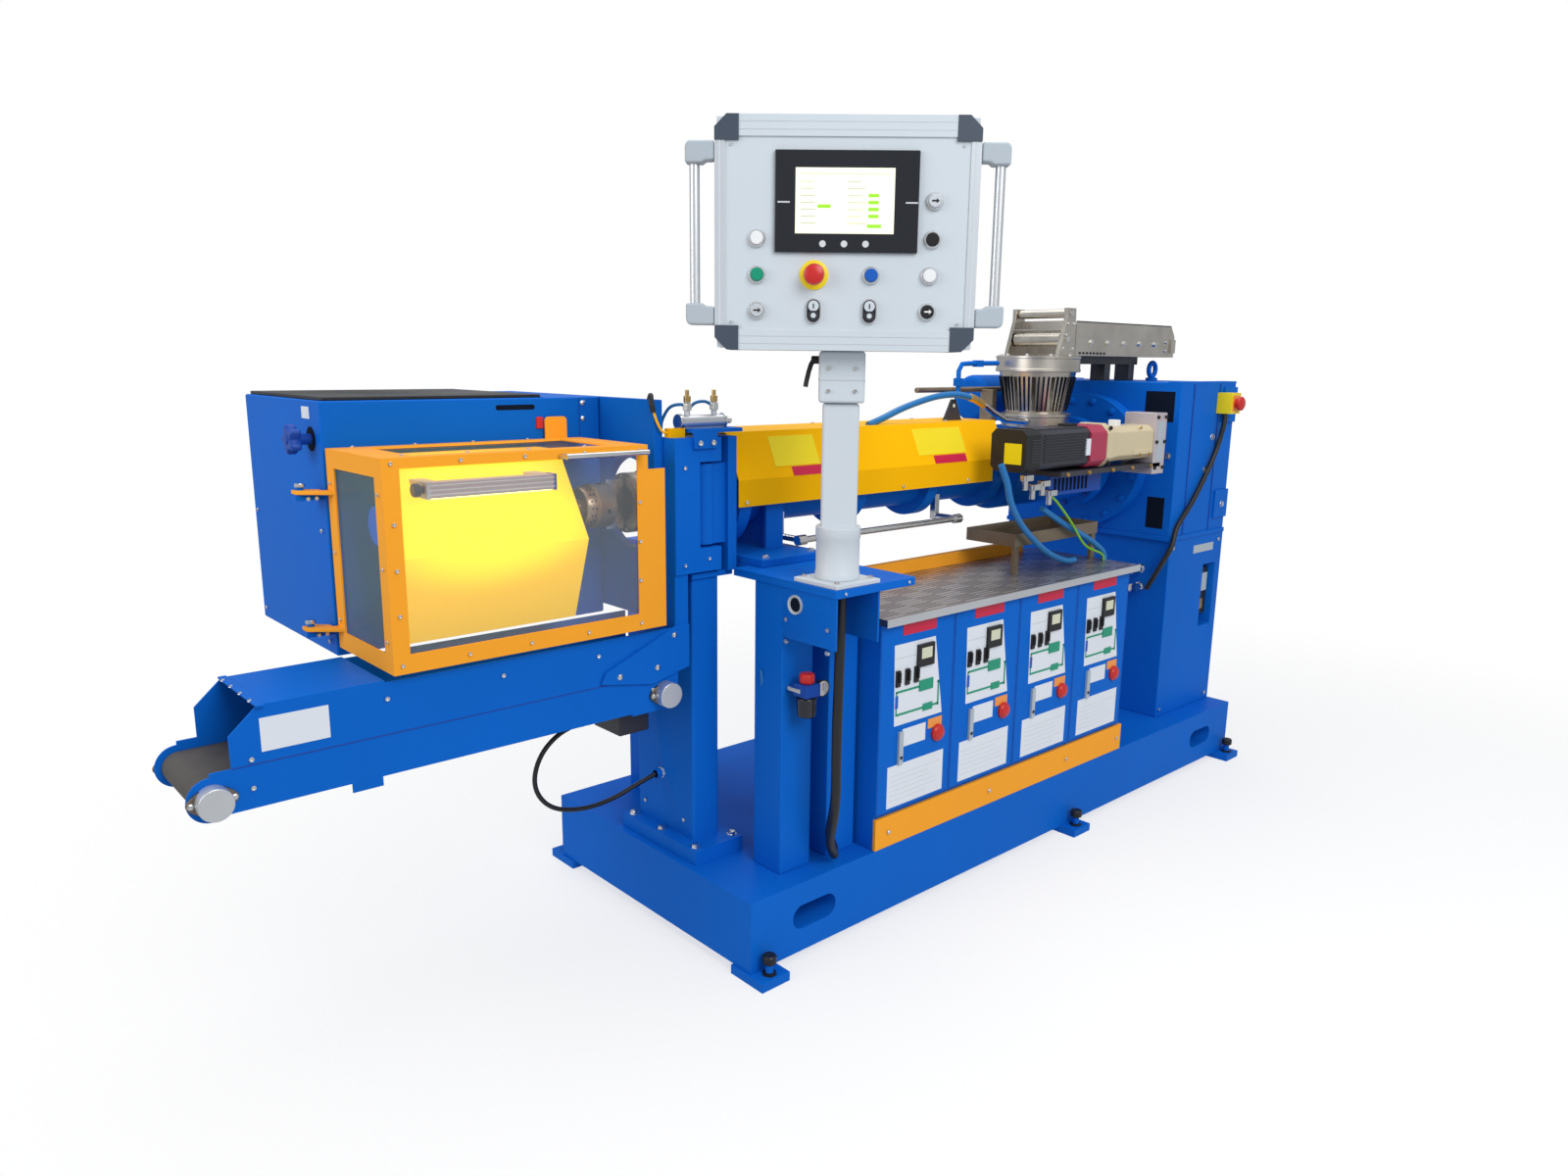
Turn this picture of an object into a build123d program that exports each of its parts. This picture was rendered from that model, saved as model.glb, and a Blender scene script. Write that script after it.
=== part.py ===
from build123d import *
import math
import os

# Rubber extruder with a roller feed and a swinging die-face cutter.
# Millimetres. +X runs along the barrel from the cutter to the gearbox, +Y away from the operator, +Z up.
# Sizes are laid out from the floor under the middle of the skid. The parts are written
# with their origin under the middle of the front middle foot.

# Skid and feet
SKID_LENGTH = 2450
SKID_WIDTH = 880
SKID_TOP = 212
PAD_THICKNESS = 24
PAD_LENGTH = 90
PAD_WIDTH = 120
PAD_REACH = 52
PAD_INSET = 38
MIDDLE_PAD_X = 146
JACK_RADIUS = 10
JACK_HEAD_RADIUS = 15
JACK_HEAD_HEIGHT = 20
JACK_STAND = 31
FORK_SLOT_LENGTH = 150
FORK_SLOT_HEIGHT = 64
FORK_SLOT_CENTRE = 1010

# Barrel line
BARREL_HEIGHT = 1145
BARREL_RADIUS = 86
BAND_RADIUS = 118
BAND_LENGTH = 46
FIRST_BAND = -560
BAND_PITCH = 320
BAND_COUNT = 3
NECK_FLANGE_RADIUS = 138
NECK_FLANGE_LENGTH = 40
NECK_FLANGE_X = -1010
DIE_FACE_X = -1274
DIE_RADIUS = 75
DIE_LENGTH = 60
DIE_MOUTH_RADIUS = 42
DIE_MOUTH_DEPTH = 5
NOZZLE_RADIUS = 82
GEARBOX_FACE_X = 813

# Hood over the barrel
HOOD_START = -1025
HOOD_END = 28
HOOD_TOP_END = 96
HOOD_HALF_WIDTH = 150
HOOD_TOP_HALF_WIDTH = 96
HOOD_BOTTOM = 1128
HOOD_BEND = 1197
HOOD_TOP = 1316
SHEET = 3
HOOD_STAY = 20

# Stand under the barrel head, with the arm of the operator panel
STAND_LEFT = -1075
STAND_RIGHT = -800
STAND_FRONT = -560
STAND_HALF_WIDTH = 372
STAND_TOP = 984
STAND_PLATE = 19
STAND_NOTCH_X = -1025
STAND_NOTCH_FRONT = -190
STAND_POST = 104
STAND_SETBACK = 4
STAND_CORNER = 10
ARM_SHEET = 6
ARM_DROP = 125
SUPPORT_WEB_X = -868
SUPPORT_WEB_THICKNESS = 62
SUPPORT_BASE_HALF_WIDTH = 240
SUPPORT_BASE_THICKNESS = 20
SUPPORT_RIB = 14
SUPPORT_HALF_WIDTH = 112

# Cutter column and hinge
COLUMN_X = -1125
COLUMN_LENGTH = 86
COLUMN_FRONT = -138
COLUMN_BACK = 112
COLUMN_TOP = 958
COLUMN_BASE_THICKNESS = 40
COLUMN_BASE_MARGIN_X = 36
COLUMN_BASE_MARGIN_Y = 56
COLUMN_CAP = 14
HINGE_X = -1122
HINGE_Y = -125
HINGE_DEPTH = 70
HINGE_TOP = 1312
HINGE_ARM_HEIGHT = 60
HINGE_GAP = 6
HINGE_LEAF_LEFT = -1233
HINGE_FIXED_RIGHT = -1041
HINGE_PIN_RADIUS = 12
HINGE_ARM_REACH = 32
KNUCKLE_RADIUS = 28
HANGER_WIDTH = 40
HANGER_PLATE = 8
HANGER_REACH = 220
HANGER_LOW = 742
HANGER_TIP = 26
RUNNING_CLEARANCE = 0.08

# Lock bracket on the hinge leaf's upper arm, with its air cylinder
LOCK_LEFT = -1180
LOCK_PLATE_RIGHT = -1110
LOCK_RIGHT = -1030
LOCK_BOTTOM = 1285
LOCK_SHELF_Z = 1323
LOCK_SHEET = 10
LOCK_SHELF_BACK = -95
LOCK_RADIUS = 16
LOCK_CYLINDER_START = -1195
LOCK_CYLINDER_END = -1060
LOCK_PORT_RADIUS = 7
LOCK_PORT_TOP = 1410
LOCK_PORT_INSET = 26

# Cutter head
HEAD_PLATE_THICKNESS = 25
HEAD_PLATE_FRONT = -110
HOUSING_LEFT = -1955
HOUSING_FRONT = 128
HOUSING_BACK = 633
HOUSING_BOTTOM = 841
HOUSING_TOP = 1402
DIE_OPENING_RADIUS = 112
COVER_THICKNESS = 8
COVER_MARGIN = 10
COVER_RIGHT = -1420

# Guard door
DOOR_LEFT = -1951
DOOR_RIGHT = -1274
DOOR_STEP_RIGHT = -1322
DOOR_STEP_HEIGHT = 1246
DOOR_FRONT = -175
DOOR_BACK = 122
DOOR_BOTTOM = 863
DOOR_TOP = 1303
DOOR_SHEET = 4
WINDOW_LEFT = 36
WINDOW_RIGHT = 78
WINDOW_TOP = 22
WINDOW_BOTTOM = 40
PANE = 5
WINDOW_LAP = 10
DOOR_HANDLE_START = -1560
DOOR_HANDLE_END = -1345
DOOR_HANDLE_DROP = 14
DOOR_HANDLE_REACH = 36
DOOR_HANDLE_RADIUS = 6
LUG_THICKNESS = 14
DOOR_HINGE_X = -2000
DOOR_HINGE_Y = 150
DOOR_PIN_RADIUS = 7
DOOR_ARM_THICKNESS = 8
DOOR_ARM_GAP = 7
DOOR_ARM_HEIGHTS = (905, 1206)

# Cutter rotor and its spindle
ROTOR_X = -1365
ROTOR_RADIUS = 55
ROTOR_LENGTH = 74
KNIFE_GAP = 6
SPINDLE_RADIUS = 42
SPINDLE_START = -1900
SPINDLE_END = -1440
SHAFT_RADIUS = 20
SPINDLE_MOUNT = 80
KNIFE_REACH = 62
DEFLECTOR_INSET = 60
DEFLECTOR_RIGHT = -1440
DEFLECTOR_TOP = (24, 1284)
DEFLECTOR_FOLD = (-100, 1084)
DEFLECTOR_FOOT = (-30, 885)
LAMP_START = -1825
LAMP_END = -1520
LAMP_SIZE = 34
LAMP_Y = -96
LAMP_Z = 1206
KNOB_Y = 190
KNOB_Z = 1319
KNOB_RADIUS = 34
KNOB_SHAFT_RADIUS = 12
KNOB_REACH = 52
KNOB_LENGTH = 24

# Take-away conveyor
CONVEYOR_FRONT = -150
CONVEYOR_WIDTH = 235
CONVEYOR_WALL = 4
ROLLER_LEFT_X = -2300
ROLLER_RIGHT_X = -1266
ROLLER_Z = 684
BELT_RADIUS = 32
BELT_THICKNESS = 4
FRAME_TOP = 736
FRAME_BOTTOM = 648
TUNNEL_LEFT = -2262
TUNNEL_CHAMFER = 52
TUNNEL_TOP = 851
TUNNEL_COVER_RIGHT = -1962
CONVEYOR_RIGHT = -1222
BEARING_RADIUS = 32
BEARING_LENGTH = 34
ROLLER_SHAFT_RADIUS = 12
CHEEK_RADIUS = 44
NOTCH_LEFT = -2041
NOTCH_RIGHT = -1978
NOTCH_DROP = 20
BELT_SIDE_GAP = 4
MOTOR_LEFT = -1340
MOTOR_RIGHT = -1250
MOTOR_BOTTOM = 560

# Operator panel
POST_X = -997
POST_Y = -481
PANEL_TURN = -43.5
PANEL_WIDTH = 564
PANEL_HEIGHT = 484
PANEL_DEPTH = 150
PANEL_BOTTOM = 1520
PANEL_FORWARD = 98
POST_SIDE = 84
POST_DEPTH = 67
POST_TOP = 1404
FOOT_RADIUS = 53
FOOT_TOP = 1120
PLATE_SIDE = 146
PLATE_THICKNESS = 11
NECK_WIDTH = 105
NECK_DEPTH = 92
TURN_GAP = 0.3
HANDLE_REACH = 64
HANDLE_BRACKET = 40
HANDLE_INSET = 52
HANDLE_RADIUS = 11
SCREEN_X = 0
SCREEN_WIDTH = 306
SCREEN_Z = 1725
SCREEN_HEIGHT = 208
SCREEN_STEP = 6
BUTTON_STEP = 16
BUTTONS = ((-186, 238, 14), (-186, 158, 14), (-186, 82, 14), (-62, 158, 24), (62, 158, 14), (186, 318, 14),
           (186, 238, 14), (186, 158, 14), (186, 82, 14), (-62, 82, 20), (62, 82, 20))

# Tie rod beside the feed neck
TIE_ROD_RADIUS = 9
TIE_ROD_START = -10
TIE_ROD_Y = 150
TIE_ROD_Z = 1405
CLEVIS_LENGTH = 70
CLEVIS_HALF = 25
CLEVIS_BOTTOM = 1300

# Water pipes under the hood's front edge
PIPE_RADIUS = 9
PIPE_COLLAR = 14
PIPE_START = -820
PIPE_END = -130
PIPE_Y = -150
PIPE_Z = 1022
PIPE_RISER_Y = -60
PIPE_RISER_TOP = 1090

# Air regulator on the stand's front post
REGULATOR_X = -1032
REGULATOR_Y = -420
REGULATOR_Z = 640
REGULATOR_HEIGHT = 110
REGULATOR_RADIUS = 25
GAUGE_RADIUS = 22
GAUGE_REACH = 46

# Cable from the conveyor's motor to the column
CABLE_RADIUS = 6
ARC_SHARE = 0.45
CABLE_PORT_Z = 600
CABLE_POINTS = ((-1440, 604), (-1528, 556), (-1560, 470), (-1516, 396), (-1426, 366), (-1330, 368), (-1244, 392))
CABLE_GLAND_Z = 404
GLAND_RADIUS = 13
GLAND_LENGTH = 22

# Cabinets and walkway plate
CABINET_COUNT = 4
CABINET_WIDTH = 300
CABINET_LEFT = -790
CABINET_FRONT = -440
CABINET_DEPTH = 400
CABINET_BOTTOM = 310
CABINET_TOP = 835
CABINET_GAP = 2
DECK_TOP = 853
DECK_LIP = 20
DECK_OVERHANG = 24
KICK_THICKNESS = 10
KICK_GAP = 10
DECK_RAIL_START = -700
DECK_RAIL_END = 330
DECK_RAIL_Y = -70
DECK_RAIL_DEPTH = 24
DECK_RAIL_HEIGHT = 40
PAN_START = -40
PAN_END = 420
PAN_FRONT = -300
PAN_BACK = -110
PAN_Z = 940
PAN_DEPTH = 40
PAN_LEG = 12

# Drive behind the feed neck
DRIVE_RADIUS = 85
DRIVE_START = 420
DRIVE_Y = 264
DRIVE_Z = 1368
DRIVE_FLANGE_RADIUS = 95
DRIVE_FLANGE_LENGTH = 24

# Gearbox and its plinth
PLINTH_LEFT = 822
PLINTH_RIGHT = 1220
PLINTH_HALF_WIDTH = 353
PLINTH_TOP = 880
GEARBOX_TOP = 1437
GEARBOX_RIGHT = 1217
WINDOW_X = 1135
WINDOW_WIDTH = 90
WINDOW_DEPTH = 60
WINDOW_LOW = 520
WINDOW_HIGH = 760
ESTOP_X = 1077
ESTOP_WIDTH = 70
ESTOP_DEPTH = 55
ESTOP_Z = 1325
ESTOP_HEIGHT = 75
ESTOP_BUTTON_RADIUS = 20
ESTOP_BUTTON = 28
VALVE_RADIUS = 12
VALVE_REACH = 60
VALVE_DROP = 45
VALVE_Y = -300
VALVE_Z = 925
MAIN_FLANGE_RADIUS = 245
MAIN_FLANGE_X = 753

# Feed section
FEED_X = 455
FEED_BLOCK_START = 190
FEED_BLOCK_END = 700
FEED_FLANGE_STEP = 30
FEED_FLANGE_LENGTH = 50
SADDLE_HALF = 122
THROAT_FLOOR = 60
FEED_BLOCK_RADIUS = 134
NECK_BASE_Z = 1282
NECK_BASE_RADIUS = 116
NECK_BASE_HEIGHT = 40
THROAT_RADIUS = 50
NECK_SLOT_COUNT = 12
NECK_SLOT_WIDTH = 14
NECK_SLOT_MARGIN = 16
GUARD_TOP = 1468
GUARD_TOP_RADIUS = 131
GUARD_BOTTOM_RADIUS = 104
GUARD_WALL = 3
RING_RADIUS = 143
RING_HEIGHT = 54
RING_BORE = 100
BOX_HALF_WIDTH = 112
BOX_LEFT = 48
BOX_RIGHT = 50
BOX_TAPER = 6
BOX_LEAN = 40
BOX_BACK_LOW = 90
BOX_SIDE_THICKNESS = 14
BOX_TOP = 1642
TOP_ROLLER_X = 473
TOP_ROLLER_Z = 1664
TOP_ROLLER_RADIUS = 15
MID_ROLLER_Z = 1578
MID_ROLLER_RADIUS = 24
ROLLER_PIN_RADIUS = 7
ROLLER_END_GAP = 5
CHUTE_END = 1175
CHUTE_TOP = 1640
CHUTE_BOTTOM = 1524
CHUTE_WALL = 3
RAIL_START = 640
RAIL_END = 1060
RAIL_HALF_WIDTH = 30
RAIL_HEIGHT = 28

# Feed drive
SERVO_Y = -295
SERVO_Z = 1240
SERVO_START = -95
SERVO_COVER = 82
SERVO_BODY = 265
SERVO_SIZE = 128
SERVO_INSET = 5
SERVO_FLANGE = 90
GEARHEAD_END = 725
GEARHEAD_RADIUS = 72
GEARHEAD_PLATE = 25
GEARHEAD_HALF = 60
GEARHEAD_PLATE_RISE = 96
GEARHEAD_PLATE_DROP = 112
BRACKET_PLATE = 16


def block(x0, x1, y0, y1, z0, z1):
    """Box between two opposite corners."""
    size = (x1 - x0, y1 - y0, z1 - z0)
    centre = ((x0 + x1) / 2, (y0 + y1) / 2, (z0 + z1) / 2)
    return Pos(*centre) * Box(*size)


def rod_x(radius, x0, x1, y, z):
    """Cylinder along X."""
    return Pos((x0 + x1) / 2, y, z) * Rot(0, 90, 0) * Cylinder(radius, x1 - x0)


def rod_y(radius, y0, y1, x, z):
    """Cylinder along Y."""
    return Pos(x, (y0 + y1) / 2, z) * Rot(90, 0, 0) * Cylinder(radius, y1 - y0)


def rod_z(radius, z0, z1, x, y):
    """Cylinder along Z."""
    return Pos(x, y, (z0 + z1) / 2) * Cylinder(radius, z1 - z0)


def prism_x(points, x0, x1):
    """Closed outline of (y, z) points carried along X."""
    corners = [(x0, y, z) for y, z in points]
    return extrude(make_face(Polyline(*corners, close=True)), x1 - x0, dir=(1, 0, 0))


def prism_y(points, y0, y1):
    """Closed outline of (x, z) points carried along Y."""
    corners = [(x, y0, z) for x, z in points]
    return extrude(make_face(Polyline(*corners, close=True)), y1 - y0, dir=(0, 1, 0))


def prism_z(points, z0, z1):
    """Closed outline of (x, y) points carried along Z."""
    corners = [(x, y, z0) for x, y in points]
    return extrude(make_face(Polyline(*corners, close=True)), z1 - z0, dir=(0, 0, 1))


def mirrored(shape):
    """The shape and its mirror image across the barrel's upright plane."""
    return [shape, mirror(shape, Plane.XZ)]


PARTS = {}


def keep(name, *shapes):
    """Hold one named sub-part, made of solids that don't touch or one solid."""
    PARTS[name] = shapes[0] if len(shapes) == 1 else Compound(children=list(shapes))


def skid():
    half = SKID_LENGTH / 2
    side = SKID_WIDTH / 2
    body = block(-half, half, -side, side, PAD_THICKNESS, SKID_TOP)
    slot_z = (PAD_THICKNESS + SKID_TOP) / 2
    end_radius = FORK_SLOT_HEIGHT / 2
    reach = FORK_SLOT_LENGTH / 2 - end_radius
    for x in (-FORK_SLOT_CENTRE, FORK_SLOT_CENTRE):
        body -= block(x - reach, x + reach, -side - 1, side + 1, slot_z - end_radius, slot_z + end_radius)
        for end in (x - reach, x + reach):
            body -= rod_y(end_radius, -side - 1, side + 1, end, slot_z)
    keep("skid_frame", body)


def feet():
    half = SKID_LENGTH / 2
    outer = SKID_WIDTH / 2 + PAD_REACH
    feet = []
    for x in (-half + PAD_INSET, MIDDLE_PAD_X, half - PAD_INSET):
        foot = block(x - PAD_LENGTH / 2, x + PAD_LENGTH / 2, -outer, -outer + PAD_WIDTH, 0, PAD_THICKNESS)
        y = PAD_REACH / 2 - outer
        head = PAD_THICKNESS + JACK_STAND
        foot += rod_z(JACK_RADIUS, PAD_THICKNESS, head, x, y)
        foot += rod_z(JACK_HEAD_RADIUS, head, head + JACK_HEAD_HEIGHT, x, y)
        feet += mirrored(foot)
    keep("levelling_feet", *feet)


def column():
    x0 = COLUMN_X - COLUMN_LENGTH / 2
    x1 = COLUMN_X + COLUMN_LENGTH / 2
    base_top = SKID_TOP + COLUMN_BASE_THICKNESS
    base = block(x0 - COLUMN_BASE_MARGIN_X, x1 + COLUMN_BASE_MARGIN_X,
                 COLUMN_FRONT - COLUMN_BASE_MARGIN_Y, COLUMN_BACK + COLUMN_BASE_MARGIN_Y / 2,
                 SKID_TOP, base_top)
    shaft = block(x0, x1, COLUMN_FRONT, COLUMN_BACK, base_top, COLUMN_TOP)
    shaft = fillet(shaft.edges().filter_by(Axis.Z), 8)
    cap = block(x0 - 5, HINGE_FIXED_RIGHT - 2, COLUMN_FRONT - 8, COLUMN_BACK + 4,
                COLUMN_TOP, COLUMN_TOP + COLUMN_CAP)
    gland = rod_x(GLAND_RADIUS, x0 - GLAND_LENGTH, x0, 0, CABLE_GLAND_Z)
    keep("cutter_column", base + shaft + cap + gland)


def hinge():
    bottom = COLUMN_TOP + COLUMN_CAP
    y0 = HINGE_Y - HINGE_DEPTH / 2
    y1 = HINGE_Y + HINGE_DEPTH / 2
    swing = math.hypot(HINGE_ARM_REACH, HINGE_DEPTH / 2) + HINGE_GAP
    low = bottom + HINGE_GAP
    mid0 = low + HINGE_ARM_HEIGHT + HINGE_GAP
    mid1 = HINGE_TOP - HINGE_ARM_HEIGHT - HINGE_GAP
    fixed = block(HINGE_X + swing, HINGE_FIXED_RIGHT, y0, y1, bottom, HINGE_TOP)
    fixed += block(HINGE_X, HINGE_X + swing + 1, HINGE_Y - KNUCKLE_RADIUS + HINGE_GAP, y1 - HINGE_GAP, mid0, mid1)
    fixed += rod_z(KNUCKLE_RADIUS, mid0, mid1, HINGE_X, HINGE_Y)
    fixed += rod_z(HINGE_PIN_RADIUS, bottom, HINGE_TOP + HINGE_GAP, HINGE_X, HINGE_Y)
    keep("hinge_fixed", fixed)
    leaf_right = HINGE_X - HINGE_DEPTH / 2
    leaf = block(HINGE_LEAF_LEFT, leaf_right, y0, y1, low, HINGE_TOP)
    for z0 in (low, HINGE_TOP - HINGE_ARM_HEIGHT):
        leaf += block(leaf_right - 1, HINGE_X + HINGE_ARM_REACH, y0, y1, z0, z0 + HINGE_ARM_HEIGHT)
    leaf -= rod_z(HINGE_PIN_RADIUS + RUNNING_CLEARANCE, low - 1, HINGE_TOP + 1, HINGE_X, HINGE_Y)
    hanger_x = HINGE_LEAF_LEFT + 1
    leaf += block(hanger_x, hanger_x + HANGER_WIDTH, CONVEYOR_FRONT - CONVEYOR_WALL, y1,
                  TUNNEL_TOP - CONVEYOR_WALL, low)
    tip_x = hanger_x - HANGER_REACH
    plate = [(tip_x, HANGER_LOW), (tip_x + HANGER_TIP / 2, HANGER_LOW + HANGER_TIP), (hanger_x, TUNNEL_TOP),
             (hanger_x + HANGER_WIDTH, TUNNEL_TOP), (hanger_x + HANGER_WIDTH, HANGER_LOW),
             (hanger_x - HANGER_REACH / 3, HANGER_LOW - HANGER_TIP)]
    leaf += prism_y(plate, CONVEYOR_FRONT - HANGER_PLATE, CONVEYOR_FRONT)
    keep("hinge_leaf", leaf)


def head_lock():
    """Angle bracket on the hinge leaf with the air cylinder that locks the head."""
    front = HINGE_Y - HINGE_DEPTH / 2
    shelf_top = LOCK_SHELF_Z + LOCK_SHEET
    bracket = block(LOCK_LEFT, LOCK_PLATE_RIGHT, front - LOCK_SHEET, front, LOCK_BOTTOM, shelf_top)
    bracket += block(LOCK_LEFT, LOCK_RIGHT, front - LOCK_SHEET, LOCK_SHELF_BACK, LOCK_SHELF_Z, shelf_top)
    keep("lock_bracket", bracket)
    middle = shelf_top + LOCK_RADIUS
    cylinder = rod_x(LOCK_RADIUS, LOCK_CYLINDER_START, LOCK_CYLINDER_END, HINGE_Y, middle)
    cylinder += block(LOCK_CYLINDER_START, LOCK_CYLINDER_END, HINGE_Y - LOCK_RADIUS / 2, HINGE_Y + LOCK_RADIUS / 2,
                      shelf_top, middle)
    for x in (LOCK_CYLINDER_START + LOCK_PORT_INSET, LOCK_CYLINDER_END - LOCK_PORT_INSET):
        cylinder += rod_z(LOCK_PORT_RADIUS, middle, LOCK_PORT_TOP, x, HINGE_Y)
    keep("lock_cylinder", cylinder)


def stand():
    deck = block(STAND_LEFT, STAND_RIGHT, STAND_FRONT, STAND_HALF_WIDTH, STAND_TOP - STAND_PLATE, STAND_TOP)
    deck -= block(STAND_LEFT - 1, STAND_NOTCH_X, STAND_NOTCH_FRONT, STAND_HALF_WIDTH + 1,
                  STAND_TOP - STAND_PLATE - 1, STAND_TOP + 1)
    deck = fillet(deck.edges().filter_by(Axis.Z).sort_by(Axis.Y)[0:2], STAND_CORNER)
    post_top = STAND_TOP - STAND_PLATE
    front = -STAND_HALF_WIDTH
    posts = []
    for x0 in (STAND_LEFT + STAND_SETBACK, STAND_RIGHT - STAND_POST - STAND_SETBACK):
        posts.append(block(x0, x0 + STAND_POST, front, front + STAND_POST, SKID_TOP, post_top))
    for x0 in (STAND_NOTCH_X + STAND_SETBACK, STAND_RIGHT - STAND_POST - STAND_SETBACK):
        posts.append(block(x0, x0 + STAND_POST, -front - STAND_POST, -front, SKID_TOP, post_top))
    keep("stand_posts", *posts)
    for x0 in (STAND_LEFT + STAND_SETBACK, POST_X + PLATE_SIDE / 2 - ARM_SHEET):
        deck += block(x0, x0 + ARM_SHEET, STAND_FRONT + ARM_SHEET, front, post_top - ARM_DROP, post_top)
    keep("stand", deck)


def head_support():
    x0 = SUPPORT_WEB_X - SUPPORT_WEB_THICKNESS / 2
    x1 = SUPPORT_WEB_X + SUPPORT_WEB_THICKNESS / 2
    base_top = STAND_TOP + SUPPORT_BASE_THICKNESS
    base = block(STAND_NOTCH_X + STAND_SETBACK, STAND_RIGHT - STAND_SETBACK, -SUPPORT_BASE_HALF_WIDTH,
                 SUPPORT_BASE_HALF_WIDTH, STAND_TOP, base_top)
    web = block(x0 + SUPPORT_RIB, x1 - SUPPORT_RIB, -SUPPORT_HALF_WIDTH, SUPPORT_HALF_WIDTH, base_top, BARREL_HEIGHT)
    for y in (-SUPPORT_HALF_WIDTH, SUPPORT_HALF_WIDTH - SUPPORT_RIB):
        web += block(x0, x1, y, y + SUPPORT_RIB, base_top, BARREL_HEIGHT - SUPPORT_RIB)
    web -= rod_x(BARREL_RADIUS, x0 - 1, x1 + 1, 0, BARREL_HEIGHT)
    keep("head_support", base + web)


def barrel():
    tube = rod_x(NOZZLE_RADIUS, DIE_FACE_X + DIE_LENGTH, NECK_FLANGE_X, 0, BARREL_HEIGHT)
    tube += rod_x(BARREL_RADIUS, NECK_FLANGE_X, FEED_BLOCK_START, 0, BARREL_HEIGHT)
    tube += rod_x(NECK_FLANGE_RADIUS, NECK_FLANGE_X, NECK_FLANGE_X + NECK_FLANGE_LENGTH, 0, BARREL_HEIGHT)
    for index in range(BAND_COUNT):
        x = FIRST_BAND + index * BAND_PITCH
        tube += rod_x(BAND_RADIUS, x, x + BAND_LENGTH, 0, BARREL_HEIGHT)
        middle = x + BAND_LENGTH / 2
        tube += block(middle - HOOD_STAY / 2, middle + HOOD_STAY / 2, -HOOD_STAY, HOOD_STAY,
                      BARREL_HEIGHT + BARREL_RADIUS, HOOD_TOP - SHEET)
    keep("barrel", tube)
    die = rod_x(DIE_RADIUS, DIE_FACE_X, DIE_FACE_X + DIE_LENGTH, 0, BARREL_HEIGHT)
    die -= rod_x(DIE_MOUTH_RADIUS, DIE_FACE_X - 1, DIE_FACE_X + DIE_MOUTH_DEPTH, 0, BARREL_HEIGHT)
    keep("die_ring", die)


def hood_outline(inset):
    """Half-section of the hood mirrored to a closed outline, drawn in by the sheet's thickness."""
    side = HOOD_HALF_WIDTH - inset
    top = HOOD_TOP_HALF_WIDTH - inset / 2
    low = HOOD_BOTTOM - inset
    bend = HOOD_BEND - inset / 2
    high = HOOD_TOP - inset
    return [(-side, low), (-side, bend), (-top, high), (top, high), (side, bend), (side, low)]


def hood():
    shell = prism_x(hood_outline(0), HOOD_START, HOOD_TOP_END)
    shell -= prism_x(hood_outline(SHEET), HOOD_START - 1, HOOD_TOP_END + 1)
    shell -= block(HOOD_END, HOOD_TOP_END + 1, -HOOD_HALF_WIDTH - 1, HOOD_HALF_WIDTH + 1,
                   HOOD_BOTTOM - SHEET, HOOD_BEND)
    keep("barrel_hood", shell)


def feed_section():
    barrel_z = BARREL_HEIGHT
    body = rod_x(FEED_BLOCK_RADIUS, FEED_BLOCK_START, MAIN_FLANGE_X, 0, barrel_z)
    body += rod_x(FEED_BLOCK_RADIUS + FEED_FLANGE_STEP, FEED_BLOCK_END - FEED_FLANGE_LENGTH, FEED_BLOCK_END, 0, barrel_z)
    body += rod_x(MAIN_FLANGE_RADIUS, MAIN_FLANGE_X, GEARBOX_FACE_X, 0, barrel_z)
    body += block(FEED_X - SADDLE_HALF, FEED_X + SADDLE_HALF, -SADDLE_HALF, SADDLE_HALF, barrel_z, NECK_BASE_Z)
    body -= rod_z(THROAT_RADIUS, barrel_z + THROAT_FLOOR, NECK_BASE_Z + 1, FEED_X, 0)
    keep("feed_block", body)
    low = NECK_BASE_Z + NECK_BASE_HEIGHT
    height = GUARD_TOP - low
    neck = Pos(FEED_X, 0, low + height / 2) * Cone(GUARD_BOTTOM_RADIUS, GUARD_TOP_RADIUS, height)
    neck -= Pos(FEED_X, 0, low + height / 2) * Cone(GUARD_BOTTOM_RADIUS - GUARD_WALL,
                                                    GUARD_TOP_RADIUS - GUARD_WALL, height)
    for index in range(NECK_SLOT_COUNT):
        cutter = block(GUARD_BOTTOM_RADIUS / 2, GUARD_TOP_RADIUS + 1, -NECK_SLOT_WIDTH / 2, NECK_SLOT_WIDTH / 2,
                       low + NECK_SLOT_MARGIN, GUARD_TOP - NECK_SLOT_MARGIN)
        neck -= Pos(FEED_X, 0, 0) * Rot(0, 0, 360 * index / NECK_SLOT_COUNT) * cutter
    base = rod_z(NECK_BASE_RADIUS, NECK_BASE_Z, low, FEED_X, 0)
    base -= rod_z(THROAT_RADIUS, NECK_BASE_Z - 1, low + 1, FEED_X, 0)
    keep("feed_neck", neck + base)
    ring = rod_z(RING_RADIUS, GUARD_TOP, GUARD_TOP + RING_HEIGHT, FEED_X, 0)
    ring -= rod_z(RING_BORE, GUARD_TOP - 1, GUARD_TOP + RING_HEIGHT + 1, FEED_X, 0)
    keep("feed_ring", ring)


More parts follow.
